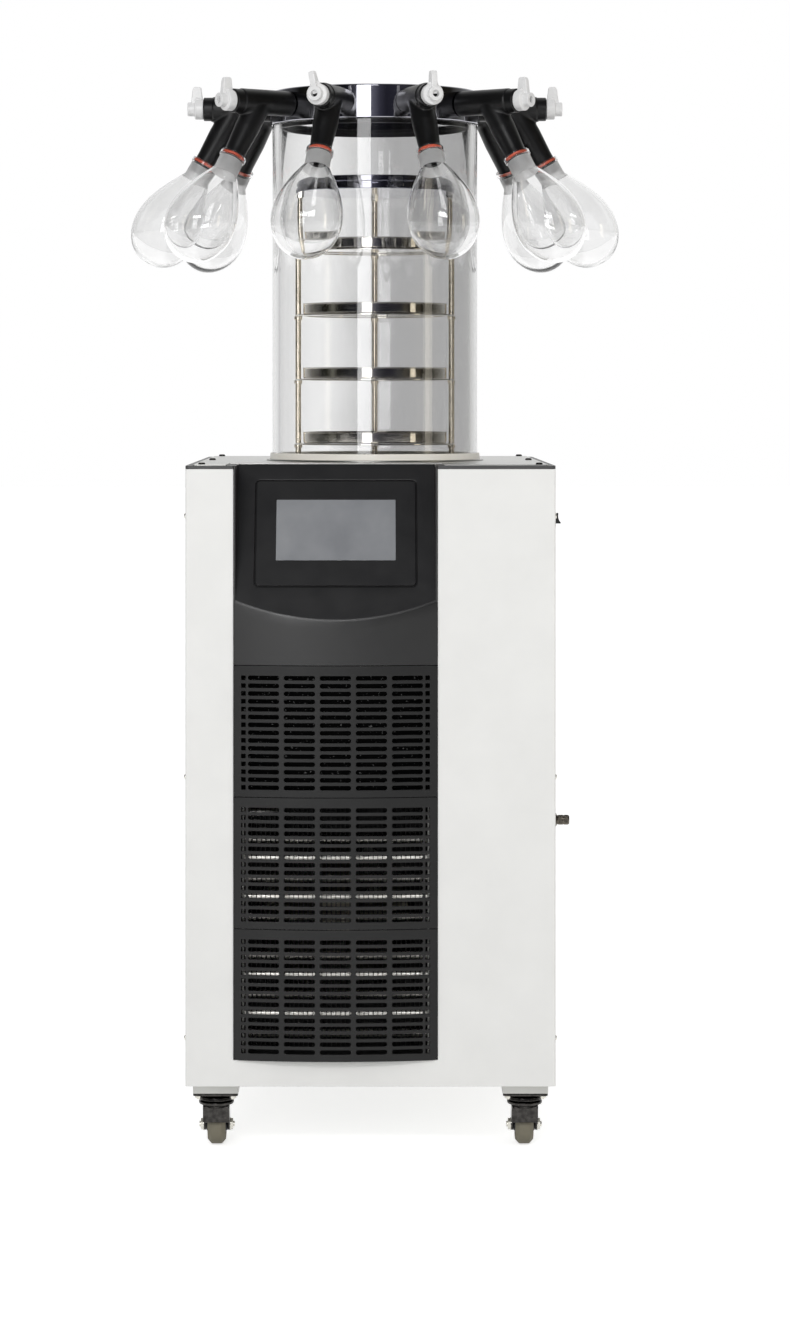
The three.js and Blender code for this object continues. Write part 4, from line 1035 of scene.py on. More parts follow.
def fascia_sheet():
    """Bulged chin, a soft arris where the leaning face cuts it, and the face with its display pocket."""
    bm = bmesh.new()
    arris_half = 1.7  # the arris is a narrow flat
    columns = [COLUMN_HALF * (n / 36 - 1) for n in range(73)]
    rows = []
    for x in columns:
        y = bulge_y(x)
        arris = FACE_FOOT_Z + (y - FACE_FOOT_Y) / math.tan(LEAN)
        bend = [(y, arris - arris_half), (face_plane_y(arris + arris_half), arris + arris_half)]
        chin = [(y, COLUMN.z0 + (bend[0][1] - COLUMN.z0) * k / 6) for k in range(6)]
        support_z = bend[-1][1] + 1.5
        profile = [*chin, *bend, (face_plane_y(support_z), support_z)]
        rows.append([bm.verts.new((x, py, pz)) for py, pz in profile])
    for left, right in zip(rows, rows[1:]):
        for k in range(len(left) - 1):
            bm.faces.new([left[k], right[k], right[k + 1], left[k + 1]])
    to_face = FACE_FRAME.inverted()
    foot = [to_face @ row[-1].co for row in rows]
    outline = [(p.x, p.z) for p in foot] + [(COLUMN_HALF, FACE_LENGTH), (-COLUMN_HALF, FACE_LENGTH)]
    pocket = [rounded(display_outline(2 * grow, max(2, 4 + grow))) for grow in (DISPLAY_GROOVE, -8)]
    loops = [outline, pocket[0]]
    triangles = geometry.tessellate_polygon([[Vector((u, v, 0)) for u, v in loop] for loop in loops])

    def on_face(u, v, depth):
        return bm.verts.new(FACE_FRAME @ Vector((u, depth, v)))

    corners = [on_face(u, v, 0) for loop in loops for u, v in loop]
    for triangle in triangles:
        face_of(bm, [corners[n] for n in triangle])
    edge = corners[len(outline):]
    floor_loop = [on_face(u, v, POCKET_DEPTH) for u, v in pocket[0]]
    hole = [on_face(u, v, POCKET_DEPTH) for u, v in pocket[1]]
    band(bm, edge, floor_loop)
    band(bm, floor_loop, hole)
    bmesh.ops.remove_doubles(bm, verts=bm.verts, dist=0.01)
    return bm


def pocket_rim(bm):
    """Edges where the leaning face turns into the display pocket."""
    to_face = FACE_FRAME.inverted()
    reach_x, reach_z = DISPLAY_WIDTH / 2 + 4, DISPLAY_HEIGHT / 2 + 4

    def on_rim(vert):
        p = to_face @ vert.co
        return abs(p.y) < 0.05 and abs(p.x) < reach_x and abs(p.z - DISPLAY_MIDDLE) < reach_z

    return [edge for edge in sharp_edges(bm, 60) if all(on_rim(vert) for vert in edge.verts)]


def fascia():
    sheet = moulded(fascia_sheet(), 0.6)
    round_edges(sheet, pocket_rim(sheet), 0.9, 2)
    build = Build().add(sheet, move(COLUMN.cx))
    cheek_foot = FACE_FOOT_Z + (COLUMN_EDGE_Y - FACE_FOOT_Y) / math.tan(LEAN) - 2
    depth = MOULDING / math.cos(LEAN)
    for side in (-1, 1):
        cheek = [
            (COLUMN_EDGE_Y, cheek_foot, 0.5), (COLUMN_EDGE_Y, COLUMN.z1, 0.8), (COLUMN_TOP_BACK, COLUMN.z1),
            (face_plane_y(cheek_foot) + depth, cheek_foot),
        ]
        build.add(prism_x(cheek, *column_wall(side), round_by=0.6))
    side_walls(build, COLUMN.z0 + 0.5, FACE_FOOT_Z)
    make("fascia_moulding", build, [BLACK_PLASTIC], stands_for=["control_fascia"])


def display():
    """Touch display: a frame with a window, its body behind, a black gasket around it that darkens the groove as
    painted shade, and the screen.
    """
    window = oblong(0, SCREEN_MIDDLE, SCREEN_WIDTH + 0.6, SCREEN_HEIGHT + 0.6, 1.2)
    build = Build()
    build.add(prism_y(display_outline(0, 4), -1, 5, holes=[window], round_by=1.1, segments=3), ONTO_FACE)
    build.add(prism_y(display_outline(-12, 2), 4, 33, round_by=0.6), ONTO_FACE)
    # black gasket in the groove: a real seal, and painted shade that keeps the groove dark
    gasket = prism_y(display_outline(4.2, 5), 2, 5.1, holes=[rounded(display_outline(0.2, 4))])
    build.add(gasket, ONTO_FACE, 1)
    make(
        "display_frame", build, [BLACK_PLASTIC, BLACK_RUBBER],
        stands_for=["screen_bezel"],
    )
    screen = prism_y(oblong(0, SCREEN_MIDDLE, SCREEN_WIDTH, SCREEN_HEIGHT, 1), -0.2, 1.2, round_by=0.5)
    make(
        "display_screen", Build().add(screen, ONTO_FACE), [SCREEN_GLASS],
        stands_for=["touch_screen"],
    )


# ---------------------------------------------------------------- refrigeration
def condenser():
    """Fins made near black as painted shade, across two staggered rows of bright tubes, between two end plates."""
    node = Span("condenser")
    fan_frame = Span("fan_frame")
    fin_foot = Span("lower_grille").z0 + 7
    fin_pitch, fin_half = 6.0, 0.4
    tube_pitch, tube_radius = 50, 5.2
    plate = 2
    x0, x1 = fan_frame.x0, fan_frame.x1
    build = Build()
    fins = int((x1 - x0 - 4) / fin_pitch)
    for n in range(fins + 1):
        x = node.cx + (n - fins / 2) * fin_pitch
        build.add(block(x - fin_half, x + fin_half, node.y0 + 1, node.y1, fin_foot, node.z1, 0))
    for x in (node.x0, node.x1 - plate):
        build.add(block(x, x + plate, node.y0, node.y1, node.z0, node.z1, 0.4, 1), None, 1)
    near, far = node.y0 + 8, node.y0 + 32
    for y, first, rows in ((near, fin_foot + 45, 5), (far, fin_foot + 15.5, 6)):
        for n in range(rows):
            z = first + n * tube_pitch
            build.add(tube([(x0 + 0.5, y, z), (x1 - 0.5, y, z)], tube_radius, 16), None, 2)
    top = node.z1 - 20
    outlet = [(x0 + 0.5, near, top), (x0 + 30, near, top), (x0 + 44, near + 10, top), (x0 + 46, far, top - 2)]
    build.add(tube(smooth_line(outlet), tube_radius, 16), None, 2)
    finishes = [SHADE_DARK_FINS, PALE_STEEL, BRIGHT_TUBE]
    make("condenser_coil", build, finishes, stands_for=["condenser"])


def shade_filters():
    """Black dust filters behind the upper grille and the rear vents, put there as painted shade that keeps the
    cabinet's inside dark.
    """
    grille = Span("upper_grille")
    build = Build()
    front = FRONT.y0 + 7
    half = COLUMN_HALF - SIDE_WALL - 1
    build.add(block(COLUMN.cx - half, COLUMN.cx + half, front, front + 3, grille.z0 + 4, grille.z1 - 4, 0.6))
    back = REAR.y1 - SHEET - 1
    low = FIRST_VENT_Z - VENT_PITCH / 2
    for x in VENT_COLUMNS:
        build.add(block(x - 62, x + 62, back - 4, back, low, low + VENT_ROWS * VENT_PITCH, 0.6))
    # painted shade: black sheets where the inside of the cabinet is in shade
    make("dust_filters_and_shade", build, [SHADE_FILTER_CLOTH])


def fan():
    """Shroud with the motor on two arms across its back, and the five-bladed rotor on the motor's shaft."""
    node = Span("fan_frame")
    blade = Span("fan_blade")
    axle_x, _, axle_z = joint_place("fan_spin")
    at = move(axle_x, 0, axle_z)
    plate = 2
    depth, radius = 35, 102  # of the shroud's round opening
    plate_back = node.y0 + depth
    outline = [(node.x0, node.z0), (node.x1, node.z0), (node.x1, node.z1), (node.x0, node.z1)]
    build = Build()
    mouth = circle(axle_x, axle_z, radius, 72)
    build.add(prism_y(outline, node.y0, node.y0 + plate, holes=[mouth], round_by=0.4))
    build.add(lathe([
        (radius, node.y0, 0.3), (radius + plate, node.y0, 0.3),
        (radius + plate, plate_back, 0.5), (radius, plate_back, 0.5),
    ], 72, closed=True), at @ ALONG_Y)
    motor_back = node.y1
    build.add(lathe([
        (0, plate_back - 1), (30, plate_back - 1), (38, plate_back + 4, 3), (38, motor_back - 6, 5),
        (20, motor_back, 4), (0, motor_back),
    ], 48), at @ ALONG_Y)
    shaft = [(0, blade.y0 + 2), (4, blade.y0 + 2, 0.5), (4, plate_back), (0, plate_back)]
    build.add(lathe(shaft, 20), at @ ALONG_Y)
    for angle in (45, 135):
        arm = block(-radius - plate, radius + plate, plate_back - 1, plate_back + 3, -6, 6, 1)
        build.add(arm, at @ turn(angle, "Y"))
    make("fan_shroud", build, [BLACK_PAINT], stands_for=["fan_frame"])

    rotor = Build()
    rotor.add(lathe([
        (4.6, blade.cy - 12), (26, blade.cy - 12, 3), (32, blade.cy - 8, 3),
        (32, blade.cy + 12, 1), (4.6, blade.cy + 12),
    ], 48, closed=True), at @ ALONG_Y)
    blades = 5
    for n in range(blades):
        rotor.add(fan_blade(), move(axle_x, blade.cy, axle_z) @ turn(360 / blades * n, "Y"))
    make("fan_rotor", rotor, [ALUMINIUM], "fan", ["fan_blade"])


def fan_blade():
    """Twisted blade standing along Z, from the hub to its tip."""
    bm = bmesh.new()
    root, tip, thickness = 29, 94, 1.6
    steps = 12
    rows = []
    for n in range(steps + 1):
        share = n / steps
        radius = root + (tip - root) * share
        pitch = math.radians(48 - 20 * share)
        half = 17 + 6 * math.sin(share * math.pi * 0.75)
        points = []
        for k in range(9):
            chord = k / 4 - 1
            along = chord * half
            camber = 2.2 * (1 - chord ** 2)
            sweep = along / radius
            points.append((radius, sweep * math.cos(pitch), along * math.sin(pitch) + camber))
        rows.append([bm.verts.new((r * math.sin(a), y, r * math.cos(a))) for r, a, y in points])
    grid_of(bm, rows)
    face_front(bm)
    round_edges(bm, thicken(bm, thickness), 0.4, 1)
    return bm


def compressor():
    """Hermetic compressor: a two part shell with its weld seam, on a plate with rubber feet."""
    node = Span("compressor")
    base = node.z0
    build = Build()
    at = move(node.cx, node.cy, base)
    build.add(lathe([
        (0, 16), (60, 16, 8), (76, 28, 14), (76, 83, 1), (80.5, 84, 1), (80.5, 90, 1), (74, 91, 1),
        (72, 170, 24),
        (46, 194, 30), (0, 199.5),
    ], 72, step=9), at)
    build.add(prism(oblong(0, 0, 184, 136, 12), 13, 17, round_by=1), at)
    build.add(block(-20, 20, -86, -70, 96, 134, 3, 3), at @ turn(180, "Z"))
    foot = [(0, 0), (11, 0, 1), (8.5, 6, 2), (11, 12.6, 1), (0, 12.6)]
    for sx, sy in CORNERS:
        corner = at @ move(sx * 78, sy * 52)
        build.add(lathe(foot, 32), corner, 1)
        build.add(hexagon(8, 17, 21), corner, 2)
    finishes = [BLACK_PAINT, BLACK_RUBBER, PLATED_STEEL]
    make("compressor_shell", build, finishes, stands_for=["compressor"])


# ---------------------------------------------------------------- cold trap
FLANGE_TOP = CYLINDER.z0 - GAP
TRAP_RADIUS = 100
TRAP_WALL = 1.5
CHAMBER_WALL = 10


def cold_trap():
    """Steel well with its flange, vacuum pipe and drain pipe, and the seal that the cylinder stands in."""
    node = Span("cold_trap")
    bottom = FLANGE_TOP - 240
    outside = TRAP_RADIUS + TRAP_WALL
    flange = CHAMBER_RADIUS + 8
    deck_top = FLANGE_TOP - SHEET
    build = Build()
    build.add(lathe([
        (0, bottom), (outside, bottom, 9), (outside, deck_top), (flange, deck_top, 0.4),
        (flange, FLANGE_TOP, 0.7),
        (TRAP_RADIUS, FLANGE_TOP, 1), (TRAP_RADIUS, bottom + TRAP_WALL, 8), (0, bottom + TRAP_WALL),
    ], 128), AXIS)
    pipe_from, pipe_to = TRAP_RADIUS + 0.8, node.y1 - CYLINDER.cy
    build.add(lathe([
        (12, pipe_from), (PIPE_RADIUS, pipe_from), (PIPE_RADIUS, pipe_to - 6, 1), (20, pipe_to - 3.4, 0.6),
        (20, pipe_to, 0.5), (12, pipe_to, 0.5),
    ], 48, closed=True), AXIS @ move(0, 0, VACUUM_PIPE_Z) @ ALONG_Y)
    nozzle = Span("drain_nozzle")
    line = smooth_line([
        (CYLINDER.cx, CYLINDER.cy, bottom), (CYLINDER.cx, CYLINDER.cy, bottom - 40),
        (CYLINDER.cx + 100, CYLINDER.cy - 60, bottom - 110), (FRONT.x1 - 60, nozzle.cy + 60, nozzle.cz + 40),
        (FRONT.x1 - 40, nozzle.cy, nozzle.cz), (FRONT.x1 - 15.5, nozzle.cy, nozzle.cz),
    ])
    build.add(tube(line, 6, 16))
    make("cold_trap_well", build, [BRUSHED_STEEL], stands_for=["cold_trap"])
    seal_outer = CHAMBER_RADIUS - CHAMBER_WALL - 2 * GAP
    seal_top = FLANGE_TOP + 8.5
    seal = lathe([
        (seal_outer - 6, FLANGE_TOP, 0.5), (seal_outer, FLANGE_TOP, 0.5), (seal_outer, seal_top, 1),
        (seal_outer - 6, seal_top, 2),
    ], 128, closed=True)
    skirt = lathe([
        (CHAMBER_RADIUS + GAP, FLANGE_TOP, 0.3), (CHAMBER_RADIUS + 3.3, FLANGE_TOP, 0.5),
        (CHAMBER_RADIUS + 2.6, seal_top, 1), (CHAMBER_RADIUS + GAP, seal_top, 0.4),
    ], 160, closed=True)
    make("chamber_seal", Build().add(seal, AXIS).add(skirt, AXIS), [SEAL_RUBBER])


def smooth_line(points, steps=8):
    """Catmull-Rom line through points."""
    line = [Vector(p) for p in points]
    line = [2 * line[0] - line[1], *line, 2 * line[-1] - line[-2]]
    result = []
    for a, b, c, d in zip(line, line[1:], line[2:], line[3:]):
        for k in range(steps):
            t = k / steps
            square = (2 * a - 5 * b + 4 * c - d) * t * t
            cube = (3 * b - a - 3 * c + d) * t ** 3
            result.append(0.5 * (2 * b + (c - a) * t + square + cube))
    result.append(line[-2])
    return result


# ---------------------------------------------------------------- chamber and rack
ROD_CIRCLE = 105
TRAY_RADIUS = 99
TRAYS = range(1, 5)


def chamber():
    wall = ring(CHAMBER_RADIUS - CHAMBER_WALL, CHAMBER_RADIUS, CYLINDER.z0, CYLINDER.z1, 0.8, 192)
    make("chamber_wall", Build().add(wall, AXIS), [ACRYLIC], stands_for=["chamber_cylinder"])


def rack():
    """Three rods with shelf rings and a heavy top plate."""
    build = Build()
    plate_foot = RACK.z1 - 18
    build.add(lathe([
        (0, plate_foot), (113.5, plate_foot, 1), (113.5, plate_foot + 7.4, 0.8), (110.5, plate_foot + 8),
        (110.5, plate_foot + 9.6), (113.5, plate_foot + 10.2, 0.8), (113.5, RACK.z1, 1.2), (0, RACK.z1),
    ], 128), AXIS, 2)
    shelves = [Span(f"sample_tray_{n}").z0 - GAP for n in TRAYS]
    for top in (RACK.z0 + 2, *shelves):
        build.add(ring(97, 109, top - 2, top, 0.6, 128), AXIS)
    for angle in (0, 90, 180):
        at = AXIS @ turn(angle, "Z") @ move(ROD_CIRCLE)
        foot = [(0, RACK.z0), (4, RACK.z0, 0.6), (4, plate_foot + 1), (0, plate_foot + 1)]
        build.add(lathe(foot, 24), at, 1)
        for top in shelves:
            collar = [(3.5, top - 6.5, 0.5), (5.6, top - 6.5, 0.5), (5.6, top - 2, 0.4), (3.5, top - 2)]
            build.add(lathe(collar, 24, closed=True), at, 1)
        build.add(hexagon(10, plate_foot - 5, plate_foot + 0.5, 0.5), at)
        build.add(DECK_SCREW, at @ move(0, 0, RACK.z1 - 0.5))
    make(
        "drying_rack", build, [RACK_STEEL, ROD_STEEL, PLATE_STEEL],
        stands_for=["rack_frame"],
    )


def trays():
    r, wall = TRAY_RADIUS, 1.2
    for n in TRAYS:
        node = Span(f"sample_tray_{n}")
        bottom, top = node.z0, node.z1
        profile = [
            (0, bottom), (r - 0.8, bottom, 2), (r - 0.8, top - 1.6, 0.4), (r, top - 1.2, 0.5), (r, top, 0.6),
            (r - 2, top, 0.6), (r - 2, bottom + wall, 1.6), (0, bottom + wall),
        ]
        build = Build().add(lathe(profile, 128), AXIS)
        make(f"tray_{n}", build, [RACK_STEEL], stands_for=[f"sample_tray_{n}"])


# ---------------------------------------------------------------- manifold, valves and flasks
LID_RADIUS = CHAMBER_RADIUS + 2
ARM_Z = LID.z1 - 22.3
ARM_RADIUS = 17
OUTLET_AT = 48
OUTLET_TILT = 30
OUTLET_RADIUS = 16.5
RIM_AT = 83.3  # arm's axis to the flask's rim
KNOB_BACK = 92 + GAP
LEVER_LEAN = {4: 14}  # degrees, by port
PORTS = range(1, 9)
PORT_STEP = 36
TO_OUTLET = move(OUTLET_AT) @ turn(180 - OUTLET_TILT, "Y")


def port(number):
    """Frame of a port: X runs outwards along the arm from the lid's wall."""
    azimuth = (number - 4.5) * PORT_STEP
    return AXIS @ move(0, 0, ARM_Z) @ turn(azimuth - 90, "Z") @ move(LID_RADIUS)


def lid():
    """Drum with a lip inside the chamber and eight stubs."""
    foot = LID.z0 + 6
    lip = CHAMBER_RADIUS - CHAMBER_WALL - 2 * GAP
    build = Build()
    build.add(lathe([
        (70, foot), (LID_RADIUS, foot, 1.6),
        (LID_RADIUS, LID.z1, 2.4), (112, LID.z1, 0.6), (111, LID.z1 - 0.6, 0.6), (0, LID.z1 - 0.6),
        (0, LID.z1 - 4),
        (LID_RADIUS - 3, LID.z1 - 4, 2), (LID_RADIUS - 3, foot + 6, 2), (70, foot + 6, 0.5),
    ], 160, closed=True), AXIS)
    gasket = [(lip - 5, LID.z0, 0.8), (lip, LID.z0, 1), (lip, foot, 0.3), (lip - 5, foot, 0.3)]
    build.add(lathe(gasket, 128, closed=True), AXIS, 1)
    for number in PORTS:
        build.add(lathe([
            (7, -2), (14, -2), (14, 0.2, 0.3), (10.6, 2, 1.5), (10, 4), (10, 21, 0.6), (9.4, 22, 0.4),
            (7, 22, 0.4),
        ], 32, closed=True), port(number) @ ALONG_X)
    make(
        "manifold_drum", build, [MIRROR_STEEL, BLACK_RUBBER],
        stands_for=["manifold_lid"],
    )


def saddle(size, steps=72, rows=6):
    """Fillet between the outlet and the arm, as a thin solid strip around the joint."""
    tilt = math.radians(OUTLET_TILT)
    start = Vector((OUTLET_AT, 0, 0))
    along = Vector((math.sin(tilt), 0, -math.cos(tilt)))
    side = Vector((math.cos(tilt), 0, math.sin(tilt)))
    bm = bmesh.new()
    columns = []
    for k in range(steps):
        angle = 2 * math.pi * k / steps
        spoke = side * math.cos(angle) + Vector((0, 1, 0)) * math.sin(angle)
        across = OUTLET_RADIUS * math.sin(angle)
        depth = math.sqrt(ARM_RADIUS ** 2 - across ** 2)
        reach = (OUTLET_RADIUS * math.cos(angle) * math.sin(tilt) + depth) / math.cos(tilt)
        corner = start + along * reach + spoke * OUTLET_RADIUS
        out = corner + along * size
        arm_normal = Vector((0, corner.y, corner.z)).normalized()
        tangent = (spoke - arm_normal * spoke.dot(arm_normal)).normalized()
        on_arm = corner + tangent * size
        scale = ARM_RADIUS / math.hypot(on_arm.y, on_arm.z)
        on_arm = Vector((on_arm.x, on_arm.y * scale, on_arm.z * scale))
        column = []
        for n in range(rows + 1):
            t = n / rows
            column.append(bm.verts.new(out * (1 - t) ** 2 + corner * 2 * t * (1 - t) + on_arm * t * t))
        columns.append(column)
    for k in range(steps):
        here, there = columns[k], columns[(k + 1) % steps]
        for n in range(rows):
            bm.faces.new([here[n], there[n], there[n + 1], here[n + 1]])
    bm.normal_update()
    middle = start + along * 30
    face = bm.faces[:][0]
    if face.normal.dot(face.calc_center_median() - middle) < 0:
        bmesh.ops.reverse_faces(bm, faces=bm.faces)
    thicken(bm, 0.8)
    return bm


def valve_mesh():
    """Rubber valve body: an arm over the stub, a branch down to the flask and its spigot."""
    build = Build()
    build.add(lathe([
        (10.4, GAP, 0.4), (ARM_RADIUS, GAP, 1.2), (ARM_RADIUS, 78, 0.6), (16, 80, 0.8), (16, 92, 1.4),
        (8.6, 92, 0.5),
        (8.6, 71), (0, 71), (0, 24), (10.4, 24),
    ], 72, closed=True), ALONG_X)
    build.add(lathe([
        (0, 6), (OUTLET_RADIUS, 6), (OUTLET_RADIUS, 42, 14), (14.3, 76, 14), (14.2, 100, 0.6),
        (12.8, 103, 0.8), (8, 103, 0.6),
        (8, 56), (0, 56),
    ], 72), TO_OUTLET)
    build.add(saddle(5))
    return piece_mesh("valve", build, [BLACK_RUBBER])


def knob_mesh():
    """Plastic knob that turns about X, with a lever standing up."""
    back, end = KNOB_BACK, KNOB_BACK + 21.7
    build = Build()
    build.add(lathe([
        (0, 72), (8, 72, 0.5), (8, back), (14, back, 1.2), (14, back + 11.5, 1.8),
        (9.5, back + 12.2, 0.8), (9.5, end, 1.2),
        (4.5, end, 0.6), (4.5, end - 12), (0, end - 12),
    ], 64), ALONG_X)
    lever = [
        (back + 1, 0), (back + 1, 14, 6), (back + 3.2, 30.5, 3), (back + 13, 30.5, 3),
        (back + 15, 26, 4), (back + 17, 8, 4),
        (back + 17, 0),
    ]
    build.add(prism_y(lever, -4, 4, round_by=1.4, segments=3))
    web = [(back + 1, 0), (back + 1, 13, 2), (back + 11, 16.5, 2), (back + 11, 0)]
    build.add(prism_y(web, -7, 7, round_by=2.2, segments=3))
    build.add(pin(4.6, end - 12.5, end - 9, sides=32), ALONG_X, 1)
    return piece_mesh("knob", build, [WHITE_PLASTIC, BLACK_RUBBER])


FLASK_WALL = 1.8
FOOT_SHARE = 2.6  # the glass is thickest at the bottom
NECK_INNER, NECK_OUTER = 14.5, 16.5
NECK_LENGTH = 26
BODY_RADIUS, BODY_MIDDLE, BODY_DEPTH = 46.4, 106.4, 54.6


def flask_side(wall):
    """Profile of the body from the neck to the bottom, set in by a wall."""
    points = []
    steps = 16
    for n in range(steps + 1):
        share = n / steps
        radius = NECK_OUTER + (BODY_RADIUS - NECK_OUTER) * math.sin(share * math.pi / 2)
        points.append((radius - wall, NECK_LENGTH + share * (BODY_MIDDLE - NECK_LENGTH)))
    foot = FOOT_SHARE * wall
    for n in range(1, steps + 1):
        angle = math.pi / 2 * n / steps
        height = BODY_MIDDLE + (BODY_DEPTH - foot) * math.sin(angle)
        points.append(((BODY_RADIUS - wall) * math.cos(angle), height))
    return points


def flask_mesh():
    """Glass flask along Z from its rim, with a ground neck and a wider collar."""
    outside = [(15.9, 0, 0.5), (18.1, 0, 0.9), (18.1, 6, 0.9), (16.5, 7.6, 0.8), *flask_side(0)]
    inside = [*reversed(flask_side(FLASK_WALL)), (NECK_INNER, 7.2, 0.5), (15.9, 5.6, 0.5)]
    inside[0] = (0, inside[0][1])
    outside[-1] = (0, outside[-1][1])
    bm = lathe([*outside, *inside], 96, closed=True)
    for face in bm.faces:
        middle = face.calc_center_median()
        outer_side = middle.xy.length > NECK_OUTER - 0.3
        face.material_index = int(outer_side and 7.8 < middle.z < NECK_LENGTH + 5)
    build = Build()
    mesh = to_mesh(bm)
    build.bm.from_mesh(mesh)
    bpy.data.meshes.remove(mesh)
    return piece_mesh("flask", build, [FLASK_GLASS, GROUND_GLASS], 50)


def seal_mesh():
    """Orange ring between the spigot and the flask's collar."""
    return piece_mesh("flask_seal", Build().add(ring(14.35, 15.75, 1.2, 4.6, 0.7, 72)), [ORANGE_SEAL])


def ports():
    valve, knob, flask, seal = valve_mesh(), knob_mesh(), flask_mesh(), seal_mesh()
    for number in PORTS:
        at = port(number)
        place(f"valve_{number}", valve, "cabinet", [f"valve_body_{number}"], at)
        lean = turn(LEVER_LEAN.get(number, 0), "X")
        place(f"knob_{number}", knob, f"knob_{number}", [f"valve_knob_{number}"], at @ lean)
        rim = at @ TO_OUTLET @ move(0, 0, RIM_AT)
        place(f"flask_glass_{number}", flask, "cabinet", [f"flask_{number}"], rim)
        place(f"flask_seal_{number}", seal, "cabinet", at=rim)


# ---------------------------------------------------------------- side and back fittings
def power_switch():
    """Rocker switch: a flange, a body with a pocket, and the paddle that tilts in it."""
    node = Span("switch_housing")
    at = move(FRONT.x1, node.cy, node.cz)
    width, height = 14, 15
    pocket = oblong(0, 0, width, height, 0.6)
    build = Build()
    build.add(prism_x(oblong(0, 0, 22, 20, 2), GAP, GAP + 2, holes=[pocket], round_by=0.5), at)
    build.add(prism_x(oblong(0, 0, *SWITCH_BODY, 1), -22, GAP + 0.5, holes=[pocket], round_by=0.2), at)
    build.add(block(-9, -8, -7.5, 7.5, -8, 8, 0), at)
    make("switch_frame", build, [BLACK_PLASTIC], stands_for=["switch_housing"])
    half = height / 2
    paddle = [
        (-4, -half + 3.5, 0.5), (-4, half - 3.5, 0.5), (2.5, half - 1.6, 0.5), (8.2, half, 0.8), (5.5, 0, 14),
        (8.2, -half, 0.8), (2.5, 1.6 - half, 0.5),
    ]
    rocker = prism_y(paddle, GAP - width / 2, width / 2 - GAP, round_by=0.5)
    build = Build().add(rocker, at @ turn(-15, "Y"))
    make("switch_paddle", build, [BLACK_PLASTIC], "rocker", ["switch_rocker"])


def drain_nozzle():
    """Threaded hose nozzle with a knurled grip."""
    node = Span("drain_nozzle")
    at = move(FRONT.x1, node.cy, node.cz) @ ALONG_X
    build = Build()
    build.add(lathe([
        (2, -26, 0.2), (3.2, -26, 0.4), (3.2, -12), (NOZZLE_RADIUS, -12, 0.4), (NOZZLE_RADIUS, GAP),
        (9, GAP, 0.5),
        (9, 3, 0.8), (6.0, 4.4, 0.4), (6.0, 19, 0.4), (5.2, 20, 0.4), (2, 20, 0.4),
    ], 48, closed=True), at)
    teeth = 36
    outline = []
    for n in range(2 * teeth):
        angle = math.pi * n / teeth
        radius = NOZZLE_RADIUS if n % 2 else NOZZLE_RADIUS - 0.4
        outline.append((radius * math.cos(angle), radius * math.sin(angle)))
    for low, high in ((6, 12), (13.4, 18.4)):
        build.add(prism(outline, low, high, holes=[circle(0, 0, 5.5, 36)], round_by=0.15, segments=1), at)
    build.add(hexagon(18, -6.8, -1.8), at)
    make("hose_nozzle", build, [DARK_STEEL], stands_for=["drain_nozzle"])


def power_inlet():
    """Three pin mains inlet with its flange screws."""
    node = Span("power_inlet")
    y = REAR.y1
    at = move(node.cx, 0, node.cz)
    socket = [
        (-10.5, -8.5, 1), (10.5, -8.5, 1), (10.5, 4.5, 1), (6.5, 8.5, 1), (-6.5, 8.5, 1), (-10.5, 4.5, 1),
    ]
    build = Build()
    build.add(prism_y(oblong(0, 0, 50, 28, 5), y + GAP, y + GAP + 3, holes=[socket], round_by=0.7), at)
    body = oblong(0, 0, *INLET_BODY, 1.5)
    build.add(prism_y(body, y - 24, y + GAP + 0.5, holes=[socket], round_by=0.3), at)
    build.add(block(-12, 12, y - 24, y - 21, -10, 10, 0), at)
    for x, z in ((-6, -3), (6, -3), (0, 4)):
        build.add(block(x - 1, x + 1, y - 22, y - 2, z - 2, z + 2, 0.4, 2), at, 1)
    for x in (-20, 20):
        build.add(SMALL_SCREW, at @ move(x, y + GAP + 3) @ ALONG_Y, 2)
    make(
        "mains_inlet", build, [BLACK_PLASTIC, BRASS, PLATED_STEEL],
        stands_for=["power_inlet"],
    )


# ---------------------------------------------------------------- studio
FLOOR_GLOW = 0.62
AIM_HEIGHT = 0.9  # metres, about the middle of the object


def floor():
    """Pale floor that reads white where no shadow falls."""
    bm = bmesh.new()
    bmesh.ops.create_grid(bm, x_segments=1, y_segments=1, size=30)
    mesh = to_mesh(bm, "floor")
    finish = Finish("floor", Roughness=0.8, Specular_IOR_Level=0.2)
    finish.colour(finish.noise(400), 0xEEEEEE, 0xF0F0F0)
    ray = finish.node("LightPath").outputs
    seen = ray["Is Camera Ray"]
    for kind in ("Is Glossy Ray", "Is Transmission Ray"):
        seen = finish.node("Math", {0: seen, 1: ray[kind]}, operation="MAXIMUM").outputs[0]
    lift = finish.node("Math", {0: seen, 1: FLOOR_GLOW}, operation="MULTIPLY").outputs[0]
    glow = finish.node("Emission", {"Strength": lift}).outputs["Emission"]
    finish.show(finish.node("AddShader", {0: finish.shader.outputs["BSDF"], 1: glow}))
    mesh.materials.append(finish.material)
    plane = bpy.data.objects.new("floor", mesh)
    bpy.context.scene.collection.objects.link(plane)


